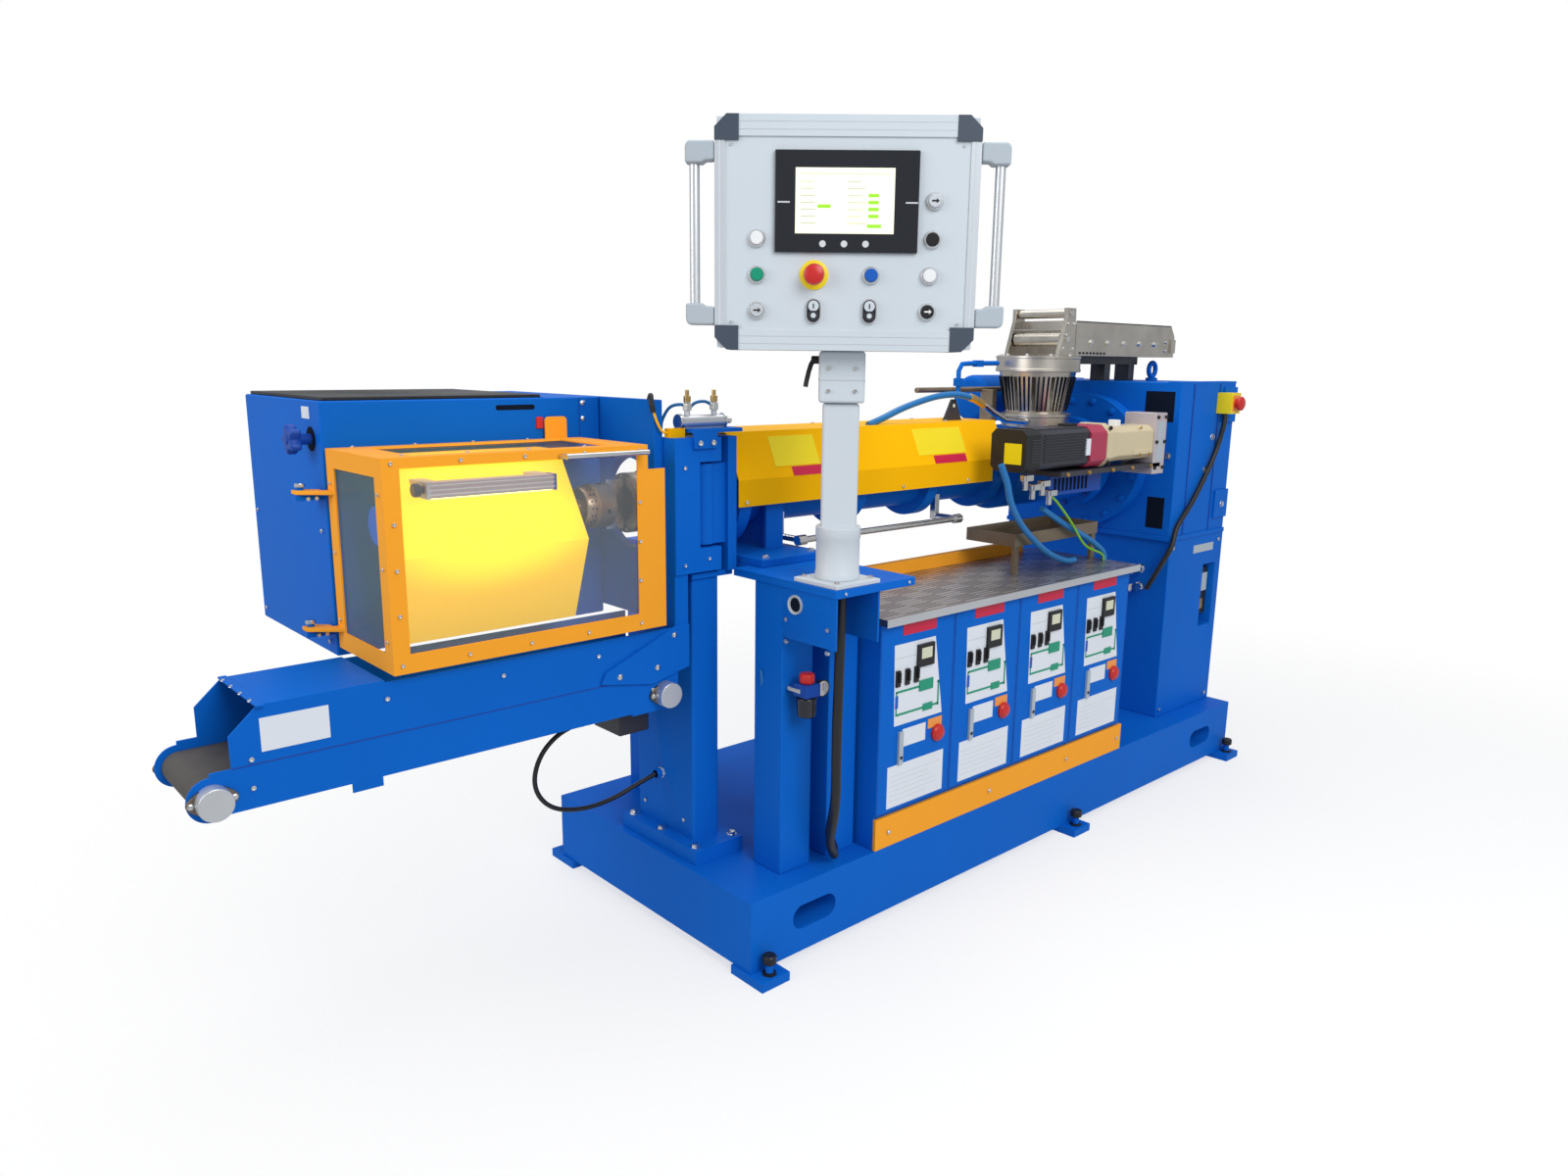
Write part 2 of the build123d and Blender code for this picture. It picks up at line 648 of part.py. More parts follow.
def roller_feed():
    box_low = GUARD_TOP + RING_HEIGHT
    outer = BOX_HALF_WIDTH
    inner = BOX_HALF_WIDTH - BOX_SIDE_THICKNESS
    lug_top = TOP_ROLLER_Z + TOP_ROLLER_RADIUS + 3
    left = FEED_X - BOX_LEFT
    right = FEED_X + BOX_RIGHT
    back = right - BOX_TAPER
    outline = [(left, box_low), (right, box_low), (back, lug_top), (left + BOX_LEAN, lug_top), (left + BOX_LEAN, BOX_TOP)]
    box = block(back - BOX_TAPER, back, -inner - 1, inner + 1, box_low + BOX_BACK_LOW, BOX_TOP)
    for y in (-outer, inner):
        plate = prism_y(outline, y, y + BOX_SIDE_THICKNESS)
        for x, z in ((TOP_ROLLER_X, TOP_ROLLER_Z), (FEED_X, MID_ROLLER_Z)):
            plate -= rod_y(ROLLER_PIN_RADIUS + RUNNING_CLEARANCE, y - 1, y + BOX_SIDE_THICKNESS + 1, x, z)
        box += plate
    keep("roller_box", box)
    rollers = (("top_roller", TOP_ROLLER_RADIUS, TOP_ROLLER_X, TOP_ROLLER_Z),
               ("guide_roller", MID_ROLLER_RADIUS, FEED_X, MID_ROLLER_Z))
    for name, radius, x, z in rollers:
        drum = rod_y(radius, -inner + ROLLER_END_GAP, inner - ROLLER_END_GAP, x, z)
        drum += rod_y(ROLLER_PIN_RADIUS, -outer, outer, x, z)
        keep(name, drum)
    start = FEED_X + 52
    tray = block(start, CHUTE_END, -outer, outer, CHUTE_BOTTOM, CHUTE_TOP)
    tray -= block(start - 1, CHUTE_END + 1, -outer + CHUTE_WALL, outer - CHUTE_WALL,
                  CHUTE_BOTTOM + CHUTE_WALL, CHUTE_TOP + 1)
    for y in (-outer, outer):
        corner = [(CHUTE_END + 1, CHUTE_TOP - 40), (CHUTE_END + 1, CHUTE_TOP + 1), (CHUTE_END - 30, CHUTE_TOP + 1)]
        tray -= prism_y(corner, y - CHUTE_WALL - 1, y + CHUTE_WALL + 1)
    keep("feed_chute", tray)
    rail_top = CHUTE_BOTTOM
    rail = block(RAIL_START, RAIL_END, -RAIL_HALF_WIDTH, RAIL_HALF_WIDTH, rail_top - RAIL_HEIGHT, rail_top)
    for x in (GEARBOX_FACE_X + 20, RAIL_END - 60):
        rail += block(x, x + 40, -RAIL_HALF_WIDTH, RAIL_HALF_WIDTH, GEARBOX_TOP, rail_top - RAIL_HEIGHT)
    keep("chute_support", rail)


def feed_drive():
    half = SERVO_SIZE / 2
    inset = half - SERVO_INSET
    cover_end = SERVO_START + SERVO_COVER
    body_end = cover_end + SERVO_BODY
    flange_end = body_end + SERVO_FLANGE
    motor = block(SERVO_START, cover_end, SERVO_Y - half, SERVO_Y + half, SERVO_Z - half, SERVO_Z + half)
    motor += block(cover_end, body_end, SERVO_Y - inset, SERVO_Y + inset, SERVO_Z - inset, SERVO_Z + inset)
    motor += block(body_end, flange_end, SERVO_Y - half, SERVO_Y + half, SERVO_Z - half, SERVO_Z + half)
    keep("servo_motor", motor)
    plate_start = GEARHEAD_END - GEARHEAD_PLATE
    head = rod_x(GEARHEAD_RADIUS, flange_end, plate_start, SERVO_Y, SERVO_Z)
    head += block(plate_start, GEARHEAD_END, SERVO_Y - GEARHEAD_HALF, SERVO_Y + GEARHEAD_HALF,
                  SERVO_Z - GEARHEAD_PLATE_DROP, SERVO_Z + GEARHEAD_PLATE_RISE)
    keep("servo_gearhead", head)
    shelf_top = SERVO_Z - GEARHEAD_RADIUS
    shelf = block(HOOD_TOP_END + HINGE_GAP, plate_start, SERVO_Y - GEARHEAD_HALF, -SADDLE_HALF,
                  shelf_top - BRACKET_PLATE, shelf_top)
    shelf += block(FEED_X - SADDLE_HALF, FEED_X + SADDLE_HALF, -SADDLE_HALF - BRACKET_PLATE, -SADDLE_HALF,
                   shelf_top - 1, NECK_BASE_Z)
    shelf -= rod_x(FEED_BLOCK_RADIUS, HOOD_TOP_END, GEARHEAD_END, 0, BARREL_HEIGHT)
    shelf -= rod_x(FEED_BLOCK_RADIUS + FEED_FLANGE_STEP, FEED_BLOCK_END - FEED_FLANGE_LENGTH, GEARHEAD_END, 0,
                   BARREL_HEIGHT)
    keep("servo_bracket", shelf)


def tie_rod():
    """Rod behind the feed neck, held by a clevis on the main flange and a lug on the feed block."""
    clevis_x = MAIN_FLANGE_X - CLEVIS_LENGTH
    rod = rod_x(TIE_ROD_RADIUS, TIE_ROD_START, clevis_x, TIE_ROD_Y, TIE_ROD_Z)
    rod += block(clevis_x, MAIN_FLANGE_X, TIE_ROD_Y - CLEVIS_HALF, TIE_ROD_Y + CLEVIS_HALF,
                 CLEVIS_BOTTOM, TIE_ROD_Z + CLEVIS_HALF)
    lug_x = FEED_X - SADDLE_HALF
    rod += block(lug_x, lug_x + CLEVIS_HALF, SADDLE_HALF - CLEVIS_HALF, TIE_ROD_Y, NECK_BASE_Z, TIE_ROD_Z)
    keep("tie_rods", rod)


def cabinets():
    back = CABINET_FRONT + CABINET_DEPTH
    cases = []
    for index in range(CABINET_COUNT):
        x0 = CABINET_LEFT + index * CABINET_WIDTH
        x1 = x0 + CABINET_WIDTH - CABINET_GAP
        case = block(x0, x1, CABINET_FRONT, back, CABINET_BOTTOM, CABINET_TOP)
        case += block(x0, x1, CABINET_FRONT + KICK_THICKNESS, back, SKID_TOP, CABINET_BOTTOM)
        cases.append(case)
    keep("cabinets", *cases)
    x1 = CABINET_LEFT + CABINET_COUNT * CABINET_WIDTH
    keep("kick_strip", block(CABINET_LEFT, x1 + DECK_LIP, CABINET_FRONT, CABINET_FRONT + KICK_THICKNESS,
                             SKID_TOP, CABINET_BOTTOM - KICK_GAP))
    deck = block(CABINET_LEFT, x1 + DECK_OVERHANG, CABINET_FRONT - DECK_LIP, back + KICK_THICKNESS,
                 CABINET_TOP, DECK_TOP)
    keep("deck_plate", deck)
    rail = block(DECK_RAIL_START, DECK_RAIL_END, DECK_RAIL_Y, DECK_RAIL_Y + DECK_RAIL_DEPTH,
                 DECK_TOP, DECK_TOP + DECK_RAIL_HEIGHT)
    keep("deck_rail", rail)
    pan = block(PAN_START, PAN_END, PAN_FRONT, PAN_BACK, PAN_Z, PAN_Z + PAN_DEPTH)
    pan -= block(PAN_START + SHEET, PAN_END - SHEET, PAN_FRONT + SHEET, PAN_BACK - SHEET,
                 PAN_Z + SHEET, PAN_Z + PAN_DEPTH + 1)
    for x in (PAN_START + SHEET, PAN_END - 2 * PAN_LEG - SHEET):
        pan += block(x, x + 2 * PAN_LEG, PAN_FRONT + SHEET, PAN_FRONT + SHEET + PAN_LEG, DECK_TOP, PAN_Z + 1)
    keep("drip_pan", pan)


def gearbox():
    front = -PLINTH_HALF_WIDTH
    plinth = block(PLINTH_LEFT, PLINTH_RIGHT, front, PLINTH_HALF_WIDTH, SKID_TOP, PLINTH_TOP)
    plinth -= block(WINDOW_X - WINDOW_WIDTH / 2, WINDOW_X + WINDOW_WIDTH / 2, front - 1, front + WINDOW_DEPTH,
                    WINDOW_LOW, WINDOW_HIGH)
    keep("gearbox_plinth", plinth)
    case = block(GEARBOX_FACE_X, GEARBOX_RIGHT, front, PLINTH_HALF_WIDTH, PLINTH_TOP, GEARBOX_TOP)
    keep("gearbox_case", case)
    estop = block(ESTOP_X, ESTOP_X + ESTOP_WIDTH, front - ESTOP_DEPTH, front, ESTOP_Z, ESTOP_Z + ESTOP_HEIGHT)
    middle = ESTOP_X + ESTOP_WIDTH / 2
    estop += rod_y(ESTOP_BUTTON_RADIUS, front - ESTOP_DEPTH - ESTOP_BUTTON, front - ESTOP_DEPTH, middle,
                   ESTOP_Z + ESTOP_HEIGHT / 2)
    keep("estop_box", estop)
    valve = rod_x(VALVE_RADIUS, GEARBOX_RIGHT, GEARBOX_RIGHT + VALVE_REACH, VALVE_Y, VALVE_Z)
    valve += rod_z(VALVE_RADIUS, VALVE_Z - VALVE_DROP, VALVE_Z, GEARBOX_RIGHT + VALVE_REACH - VALVE_RADIUS, VALVE_Y)
    keep("drain_valve", valve)


def rear_drive():
    """Round drive housing on the gearbox's face, behind the feed neck."""
    drum = rod_x(DRIVE_RADIUS, DRIVE_START, GEARBOX_FACE_X, DRIVE_Y, DRIVE_Z)
    drum = fillet(drum.edges().sort_by(Axis.X)[0], DRIVE_FLANGE_LENGTH)
    drum += rod_x(DRIVE_FLANGE_RADIUS, GEARBOX_FACE_X - DRIVE_FLANGE_LENGTH, GEARBOX_FACE_X, DRIVE_Y, DRIVE_Z)
    keep("rear_drive", drum)


def services():
    """Water pipes under the barrel and the air regulator on the stand."""
    pipe = rod_x(PIPE_RADIUS, PIPE_START, PIPE_END, PIPE_Y, PIPE_Z)
    for x in (PIPE_START + PIPE_COLLAR, PIPE_END - PIPE_COLLAR):
        pipe += rod_x(PIPE_COLLAR, x - PIPE_COLLAR - 1, x + PIPE_COLLAR + 1, PIPE_Y, PIPE_Z)
        arm = rod_y(PIPE_RADIUS, PIPE_Y, PIPE_RISER_Y, x, PIPE_Z)
        arm += block(x - PIPE_RADIUS - 1, x + PIPE_RADIUS + 1, PIPE_RISER_Y - PIPE_RADIUS - 1,
                     PIPE_RISER_Y + PIPE_RADIUS + 1, PIPE_Z - PIPE_RADIUS - 1, PIPE_RISER_TOP)
        pipe += arm - rod_x(BARREL_RADIUS, x - PIPE_COLLAR, x + PIPE_COLLAR, 0, BARREL_HEIGHT)
    keep("water_pipes", pipe)
    top = REGULATOR_Z + REGULATOR_HEIGHT
    unit = rod_z(REGULATOR_RADIUS, REGULATOR_Z, top, REGULATOR_X, REGULATOR_Y)
    middle = REGULATOR_Z + REGULATOR_HEIGHT / 2
    unit += block(REGULATOR_X - REGULATOR_RADIUS, REGULATOR_X + REGULATOR_RADIUS, REGULATOR_Y, -STAND_HALF_WIDTH,
                  middle, middle + REGULATOR_RADIUS)
    gauge_x = REGULATOR_X + GAUGE_REACH
    unit += rod_x(GAUGE_RADIUS / 3, REGULATOR_X, gauge_x, REGULATOR_Y, middle)
    unit += rod_y(GAUGE_RADIUS, REGULATOR_Y - GAUGE_RADIUS / 2, REGULATOR_Y + GAUGE_RADIUS / 2, gauge_x, middle)
    keep("air_regulator", unit)


def cable():
    """Free cable: a round section carried along straight runs joined by tangent arcs.

    The same length of each run is given to the arcs at both of its ends.
    """
    start = (MOTOR_LEFT - TURN_GAP, 0, CABLE_PORT_Z)
    end = (COLUMN_X - COLUMN_LENGTH / 2 - GLAND_LENGTH - 5 * TURN_GAP, 0, CABLE_GLAND_Z)
    points = [start] + [(x, 0, z) for x, z in CABLE_POINTS] + [end]
    radii = []
    for before, here, after in zip(points, points[1:], points[2:]):
        near = Vector(*here) - Vector(*before)
        far = Vector(*after) - Vector(*here)
        turn = math.radians(near.get_angle(far))
        radii.append(ARC_SHARE * min(near.length, far.length) / math.tan(turn / 2))
    path = FilletPolyline(*points, radius=radii)
    section = Plane(origin=path @ 0, z_dir=path % 0) * Circle(CABLE_RADIUS)
    keep("conveyor_cable", sweep(section, path=path))


def panel():
    plate_top = STAND_TOP + PLATE_THICKNESS
    half = PLATE_SIDE / 2
    plate = block(POST_X - half, POST_X + half, POST_Y - half, POST_Y + half, STAND_TOP, plate_top)
    plate = fillet(plate.edges().filter_by(Axis.Z), STAND_CORNER)
    foot = plate + rod_z(FOOT_RADIUS, plate_top, FOOT_TOP, POST_X, POST_Y)
    turn = Pos(POST_X, POST_Y, 0) * Rot(0, 0, PANEL_TURN)
    side = POST_SIDE / 2
    depth = POST_DEPTH / 2
    post = turn * block(-side, side, -depth, depth, FOOT_TOP, POST_TOP)
    keep("panel_post", foot + post)
    neck = turn * block(-NECK_WIDTH / 2, NECK_WIDTH / 2, -NECK_DEPTH / 2, NECK_DEPTH / 2,
                        POST_TOP + TURN_GAP, PANEL_BOTTOM)
    keep("panel_neck", neck)
    front = -PANEL_FORWARD
    width = PANEL_WIDTH / 2
    top = PANEL_BOTTOM + PANEL_HEIGHT
    case = turn * block(-width, width, front, front + PANEL_DEPTH, PANEL_BOTTOM, top)
    keep("panel_case", case)
    handles = []
    for sign in (-1, 1):
        x = sign * (width + HANDLE_REACH - HANDLE_BRACKET / 2)
        bar = rod_z(HANDLE_RADIUS, PANEL_BOTTOM + HANDLE_INSET, top - HANDLE_INSET, x, front + HANDLE_BRACKET / 2)
        edges = sorted((sign * width, x + sign * HANDLE_BRACKET / 2))
        for z in (PANEL_BOTTOM + HANDLE_INSET, top - HANDLE_INSET - HANDLE_BRACKET):
            bar += block(edges[0], edges[1], front, front + HANDLE_BRACKET, z, z + HANDLE_BRACKET)
        handles.append(turn * bar)
    keep("panel_handles", *handles)
    screen = block(SCREEN_X - SCREEN_WIDTH / 2, SCREEN_X + SCREEN_WIDTH / 2, front - SCREEN_STEP, front,
                   SCREEN_Z, SCREEN_Z + SCREEN_HEIGHT)
    keep("panel_screen", turn * screen)
    buttons = []
    for x, z, radius in BUTTONS:
        buttons.append(turn * rod_y(radius, front - BUTTON_STEP, front, x, PANEL_BOTTOM + z))
    keep("panel_buttons", *buttons)


def cutter_head():
    plate_right = HINGE_LEAF_LEFT
    plate_left = plate_right - HEAD_PLATE_THICKNESS
    plate = block(plate_left, plate_right, HEAD_PLATE_FRONT, HOUSING_BACK, DOOR_BOTTOM, HOUSING_TOP)
    plate -= rod_x(DIE_OPENING_RADIUS, plate_left - 1, plate_right + 1, 0, BARREL_HEIGHT)
    keep("head_plate", plate)
    housing = block(HOUSING_LEFT, plate_left, HOUSING_FRONT, HOUSING_BACK, HOUSING_BOTTOM, HOUSING_TOP)
    keep("cutter_housing", housing)
    cover = block(HOUSING_LEFT + COVER_MARGIN, COVER_RIGHT, HOUSING_FRONT + COVER_MARGIN,
                  HOUSING_BACK - COVER_MARGIN, HOUSING_TOP, HOUSING_TOP + COVER_THICKNESS)
    keep("housing_cover", cover)
    z = BARREL_HEIGHT
    spindle = rod_x(SPINDLE_RADIUS, SPINDLE_START, SPINDLE_END, 0, z)
    spindle += block(SPINDLE_START + SPINDLE_MOUNT, SPINDLE_END - SPINDLE_MOUNT, 0, HOUSING_FRONT,
                     z - SPINDLE_RADIUS / 2, z + SPINDLE_RADIUS / 2)
    keep("cutter_spindle", spindle)
    rotor_right = ROTOR_X + ROTOR_LENGTH / 2
    rotor = rod_x(ROTOR_RADIUS, ROTOR_X - ROTOR_LENGTH / 2, rotor_right, 0, z)
    rotor += rod_x(SHAFT_RADIUS, SPINDLE_END + TURN_GAP, ROTOR_X, 0, z)
    rotor += block(rotor_right - 1, DIE_FACE_X - KNIFE_GAP, -KNIFE_GAP, KNIFE_GAP, z - KNIFE_REACH, z + KNIFE_REACH)
    keep("cutter_rotor", rotor)
    left = HOUSING_LEFT + DEFLECTOR_INSET
    front_side = [DEFLECTOR_TOP, DEFLECTOR_FOLD, DEFLECTOR_FOOT]
    back_side = [(y + SHEET, z) for y, z in reversed(front_side)]
    screen = prism_x(front_side + back_side, left, DEFLECTOR_RIGHT)
    top_y, top_z = DEFLECTOR_TOP
    screen += block(left, DEFLECTOR_RIGHT, top_y, HOUSING_FRONT, top_z - SHEET, top_z)
    keep("deflector", screen)
    lamp = block(LAMP_START, LAMP_END, LAMP_Y, LAMP_Y + LAMP_SIZE, LAMP_Z, LAMP_Z + LAMP_SIZE)
    for x in (LAMP_START, LAMP_END - LAMP_SIZE):
        lamp += block(x, x + LAMP_SIZE, LAMP_Y + LAMP_SIZE - 1, 0, LAMP_Z + LAMP_SIZE / 2, LAMP_Z + LAMP_SIZE)
    behind = [(y + LAMP_SIZE, z) for y, z in (DEFLECTOR_FOLD, DEFLECTOR_TOP)]
    lamp -= prism_x([DEFLECTOR_TOP, DEFLECTOR_FOLD] + behind, LAMP_START - 1, LAMP_END + 1)
    keep("lamp_bar", lamp)
    knob = rod_x(KNOB_SHAFT_RADIUS, HOUSING_LEFT - KNOB_REACH, HOUSING_LEFT, KNOB_Y, KNOB_Z)
    knob += rod_x(KNOB_RADIUS, HOUSING_LEFT - KNOB_REACH, HOUSING_LEFT - KNOB_REACH + KNOB_LENGTH, KNOB_Y, KNOB_Z)
    keep("star_knob", knob)


def guard_door():
    sheet = DOOR_SHEET
    side_front = DOOR_FRONT + WINDOW_BOTTOM
    side_back = DOOR_BACK - WINDOW_BOTTOM
    window_low = DOOR_BOTTOM + WINDOW_BOTTOM
    outline = [(DOOR_LEFT, DOOR_BOTTOM), (DOOR_RIGHT, DOOR_BOTTOM), (DOOR_RIGHT, DOOR_STEP_HEIGHT),
               (DOOR_STEP_RIGHT, DOOR_STEP_HEIGHT), (DOOR_STEP_RIGHT, DOOR_TOP), (DOOR_LEFT, DOOR_TOP)]
    frame = prism_y(outline, DOOR_FRONT, DOOR_BACK)
    frame -= block(DOOR_LEFT + sheet, DOOR_RIGHT + 1, DOOR_FRONT + sheet, DOOR_BACK + 1,
                   DOOR_BOTTOM - 1, DOOR_TOP - sheet)
    frame -= block(DOOR_LEFT + WINDOW_LEFT, DOOR_RIGHT - WINDOW_RIGHT, DOOR_FRONT - 1, side_front,
                   window_low, DOOR_TOP - WINDOW_TOP)
    frame -= block(DOOR_LEFT - 1, DOOR_LEFT + WINDOW_LEFT, side_front, side_back,
                   window_low, DOOR_TOP - WINDOW_BOTTOM)
    frame -= block(DOOR_LEFT + WINDOW_RIGHT, DOOR_STEP_RIGHT - WINDOW_RIGHT, side_front, side_back,
                   DOOR_TOP - WINDOW_TOP, DOOR_TOP + 1)
    for z in DOOR_ARM_HEIGHTS:
        clear_x = HOUSING_LEFT - DOOR_ARM_GAP
        eye = 2 * DOOR_PIN_RADIUS
        arm = [(DOOR_LEFT + sheet, side_back), (DOOR_LEFT + sheet, DOOR_BACK), (clear_x, DOOR_BACK),
               (clear_x, DOOR_HINGE_Y - DOOR_PIN_RADIUS), (DOOR_HINGE_X + eye, DOOR_HINGE_Y + eye),
               (DOOR_HINGE_X - eye, DOOR_HINGE_Y + eye), (DOOR_HINGE_X - eye, DOOR_HINGE_Y - eye)]
        top = z + DOOR_ARM_THICKNESS
        frame += prism_z(arm, z, top) - rod_z(DOOR_PIN_RADIUS + RUNNING_CLEARANCE, z - 1, top + 1,
                                              DOOR_HINGE_X, DOOR_HINGE_Y)
    keep("guard_frame", frame)
    inner = DOOR_FRONT + sheet
    lap = WINDOW_LAP
    panes = [block(DOOR_LEFT + WINDOW_LEFT - lap, DOOR_RIGHT - WINDOW_RIGHT + lap, inner, inner + PANE,
                   window_low - lap, DOOR_TOP - WINDOW_TOP + lap),
             block(DOOR_LEFT + sheet, DOOR_LEFT + sheet + PANE, side_front - lap, side_back + lap,
                   window_low - lap, DOOR_TOP - WINDOW_BOTTOM + lap),
             block(DOOR_LEFT + WINDOW_RIGHT - lap, DOOR_STEP_RIGHT - WINDOW_RIGHT + lap, side_front - lap,
                   side_back + lap, DOOR_TOP - sheet - PANE, DOOR_TOP - sheet)]
    keep("guard_windows", *panes)
    z0 = DOOR_TOP - DOOR_HANDLE_DROP
    bar_y = DOOR_FRONT - DOOR_HANDLE_REACH
    handle = rod_x(DOOR_HANDLE_RADIUS, DOOR_HANDLE_START, DOOR_HANDLE_END, bar_y, z0)
    for x in (DOOR_HANDLE_START + DOOR_HANDLE_RADIUS, DOOR_HANDLE_END - DOOR_HANDLE_RADIUS):
        handle += rod_y(DOOR_HANDLE_RADIUS, bar_y, DOOR_FRONT, x, z0)
    keep("guard_handle", handle)
    brackets = []
    for z in DOOR_ARM_HEIGHTS:
        low = z - LUG_THICKNESS
        lug = block(DOOR_HINGE_X - LUG_THICKNESS, HOUSING_LEFT, DOOR_HINGE_Y - LUG_THICKNESS,
                    DOOR_HINGE_Y + 2 * LUG_THICKNESS, low, z - TURN_GAP)
        lug += rod_z(DOOR_PIN_RADIUS, low, z + DOOR_ARM_THICKNESS + DOOR_PIN_RADIUS, DOOR_HINGE_X, DOOR_HINGE_Y)
        brackets.append(lug)
    keep("door_hinge_lugs", *brackets)


def conveyor():
    back = CONVEYOR_FRONT + CONVEYOR_WIDTH
    wall = CONVEYOR_WALL
    top = TUNNEL_TOP - wall
    frame = block(TUNNEL_LEFT + TUNNEL_CHAMFER, TUNNEL_COVER_RIGHT, CONVEYOR_FRONT, back, top, TUNNEL_TOP)
    outline = [(TUNNEL_LEFT, FRAME_TOP - 1), (CONVEYOR_RIGHT, FRAME_TOP - 1), (CONVEYOR_RIGHT, top),
               (TUNNEL_LEFT + TUNNEL_CHAMFER, top), (TUNNEL_LEFT, TUNNEL_TOP - TUNNEL_CHAMFER)]
    for y0 in (CONVEYOR_FRONT, back - wall):
        frame += block(ROLLER_LEFT_X, CONVEYOR_RIGHT, y0, y0 + wall, FRAME_BOTTOM, FRAME_TOP)
        frame += rod_y(CHEEK_RADIUS, y0, y0 + wall, ROLLER_LEFT_X, ROLLER_Z)
        frame += block(NOTCH_LEFT, NOTCH_RIGHT, y0, y0 + wall, FRAME_BOTTOM - NOTCH_DROP, FRAME_BOTTOM + 1)
        frame += prism_y(outline, y0, y0 + wall)
    frame += block(MOTOR_LEFT - 20, MOTOR_RIGHT + 10, CONVEYOR_FRONT, back, FRAME_BOTTOM - 6, FRAME_BOTTOM)
    for x in (ROLLER_LEFT_X, ROLLER_RIGHT_X):
        frame -= rod_y(ROLLER_SHAFT_RADIUS, CONVEYOR_FRONT - 1, back + 1, x, ROLLER_Z)
    keep("conveyor_frame", frame)
    inner0 = CONVEYOR_FRONT + wall + BELT_SIDE_GAP
    inner1 = back - wall - BELT_SIDE_GAP
    low = ROLLER_Z - BELT_RADIUS
    high = ROLLER_Z + BELT_RADIUS
    drum_radius = BELT_RADIUS - BELT_THICKNESS
    outer = block(ROLLER_LEFT_X, ROLLER_RIGHT_X, inner0, inner1, low, high)
    gone = block(ROLLER_LEFT_X, ROLLER_RIGHT_X, inner0 - 1, inner1 + 1, low + BELT_THICKNESS, high - BELT_THICKNESS)
    rollers = []
    for x in (ROLLER_LEFT_X, ROLLER_RIGHT_X):
        outer += rod_y(BELT_RADIUS, inner0, inner1, x, ROLLER_Z)
        gone += rod_y(drum_radius, inner0 - 1, inner1 + 1, x, ROLLER_Z)
        drum = rod_y(drum_radius, inner0, inner1, x, ROLLER_Z)
        drum += rod_y(ROLLER_SHAFT_RADIUS, CONVEYOR_FRONT, back, x, ROLLER_Z)
        drum += rod_y(BEARING_RADIUS, CONVEYOR_FRONT - BEARING_LENGTH, CONVEYOR_FRONT, x, ROLLER_Z)
        drum += rod_y(BEARING_RADIUS, back, back + BEARING_LENGTH, x, ROLLER_Z)
        rollers.append(drum)
    keep("conveyor_belt", outer - gone)
    keep("conveyor_rollers", *rollers)
    motor = block(MOTOR_LEFT, MOTOR_RIGHT, -60, 60, MOTOR_BOTTOM, FRAME_BOTTOM - 6)
    keep("conveyor_motor", motor)


skid()
feet()
column()
hinge()
head_lock()
stand()
head_support()
barrel()
hood()
feed_section()
roller_feed()
feed_drive()
tie_rod()
cabinets()
gearbox()
rear_drive()
panel()
cutter_head()
guard_door()
conveyor()
services()
cable()

os.makedirs("parts", exist_ok=True)
foot_y = PAD_WIDTH / 2 - SKID_WIDTH / 2 - PAD_REACH
to_foot = Location((-MIDDLE_PAD_X, -foot_y, 0))
for node, shape in PARTS.items():
    placed = [solid.moved(to_foot) for solid in shape.solids()]
    export_step(placed[0] if len(placed) == 1 else Compound(children=placed), f"parts/{node}.step")
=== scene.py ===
"""Looks of a rubber extruder with a roller feed, a swinging die-face cutter and an operator panel."""

import logging
import math
from dataclasses import dataclass, field
from enum import Enum
from typing import Iterable, Optional, Sequence

import bmesh
import bpy
import numpy as np
from mathutils import Matrix, Vector

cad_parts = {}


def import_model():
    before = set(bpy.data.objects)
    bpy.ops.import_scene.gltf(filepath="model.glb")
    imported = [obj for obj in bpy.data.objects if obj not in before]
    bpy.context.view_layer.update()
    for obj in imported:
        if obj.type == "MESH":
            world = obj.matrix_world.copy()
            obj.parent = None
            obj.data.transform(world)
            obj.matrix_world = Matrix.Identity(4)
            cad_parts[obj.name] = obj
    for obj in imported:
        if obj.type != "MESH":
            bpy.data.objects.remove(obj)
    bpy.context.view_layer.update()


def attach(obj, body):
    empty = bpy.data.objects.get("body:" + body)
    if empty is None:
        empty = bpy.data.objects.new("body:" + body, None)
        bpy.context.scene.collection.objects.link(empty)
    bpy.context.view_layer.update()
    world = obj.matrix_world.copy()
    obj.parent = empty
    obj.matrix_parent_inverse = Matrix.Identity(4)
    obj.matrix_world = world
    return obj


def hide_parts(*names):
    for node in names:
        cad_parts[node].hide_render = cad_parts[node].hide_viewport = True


LOG = logging.getLogger("rubber_extruder")
MM = 0.001
LAYOUT_TO_FOOT = (-146.0, 432.0, 0.0)
Point = Sequence[float]
Socket = bpy.types.NodeSocket
SHARP_ANGLE = math.radians(38)
FLAT_ANGLE = math.radians(1)
MERGE_DISTANCE = 1e-5


class Axis(Enum):
    """Direction that a turned or extruded shape runs along."""

    X = 0
    Y = 1
    Z = 2


class Body(Enum):
    """Rigid bodies of the machine."""

    MACHINE = "machine"
    HEAD = "cutter_head"
    DOOR = "guard_door"
    PANEL = "control_panel"
    ROTOR = "cutter_rotor"
    TOP_ROLLER = "top_roller"
    GUIDE_ROLLER = "guide_roller"


def placed(at: Point) -> Vector:
    """A point in metres, carried from the skid's middle to the frame under the front middle foot."""
    return Vector(at) + Vector(LAYOUT_TO_FOOT) * MM


# ---- shared shader groups


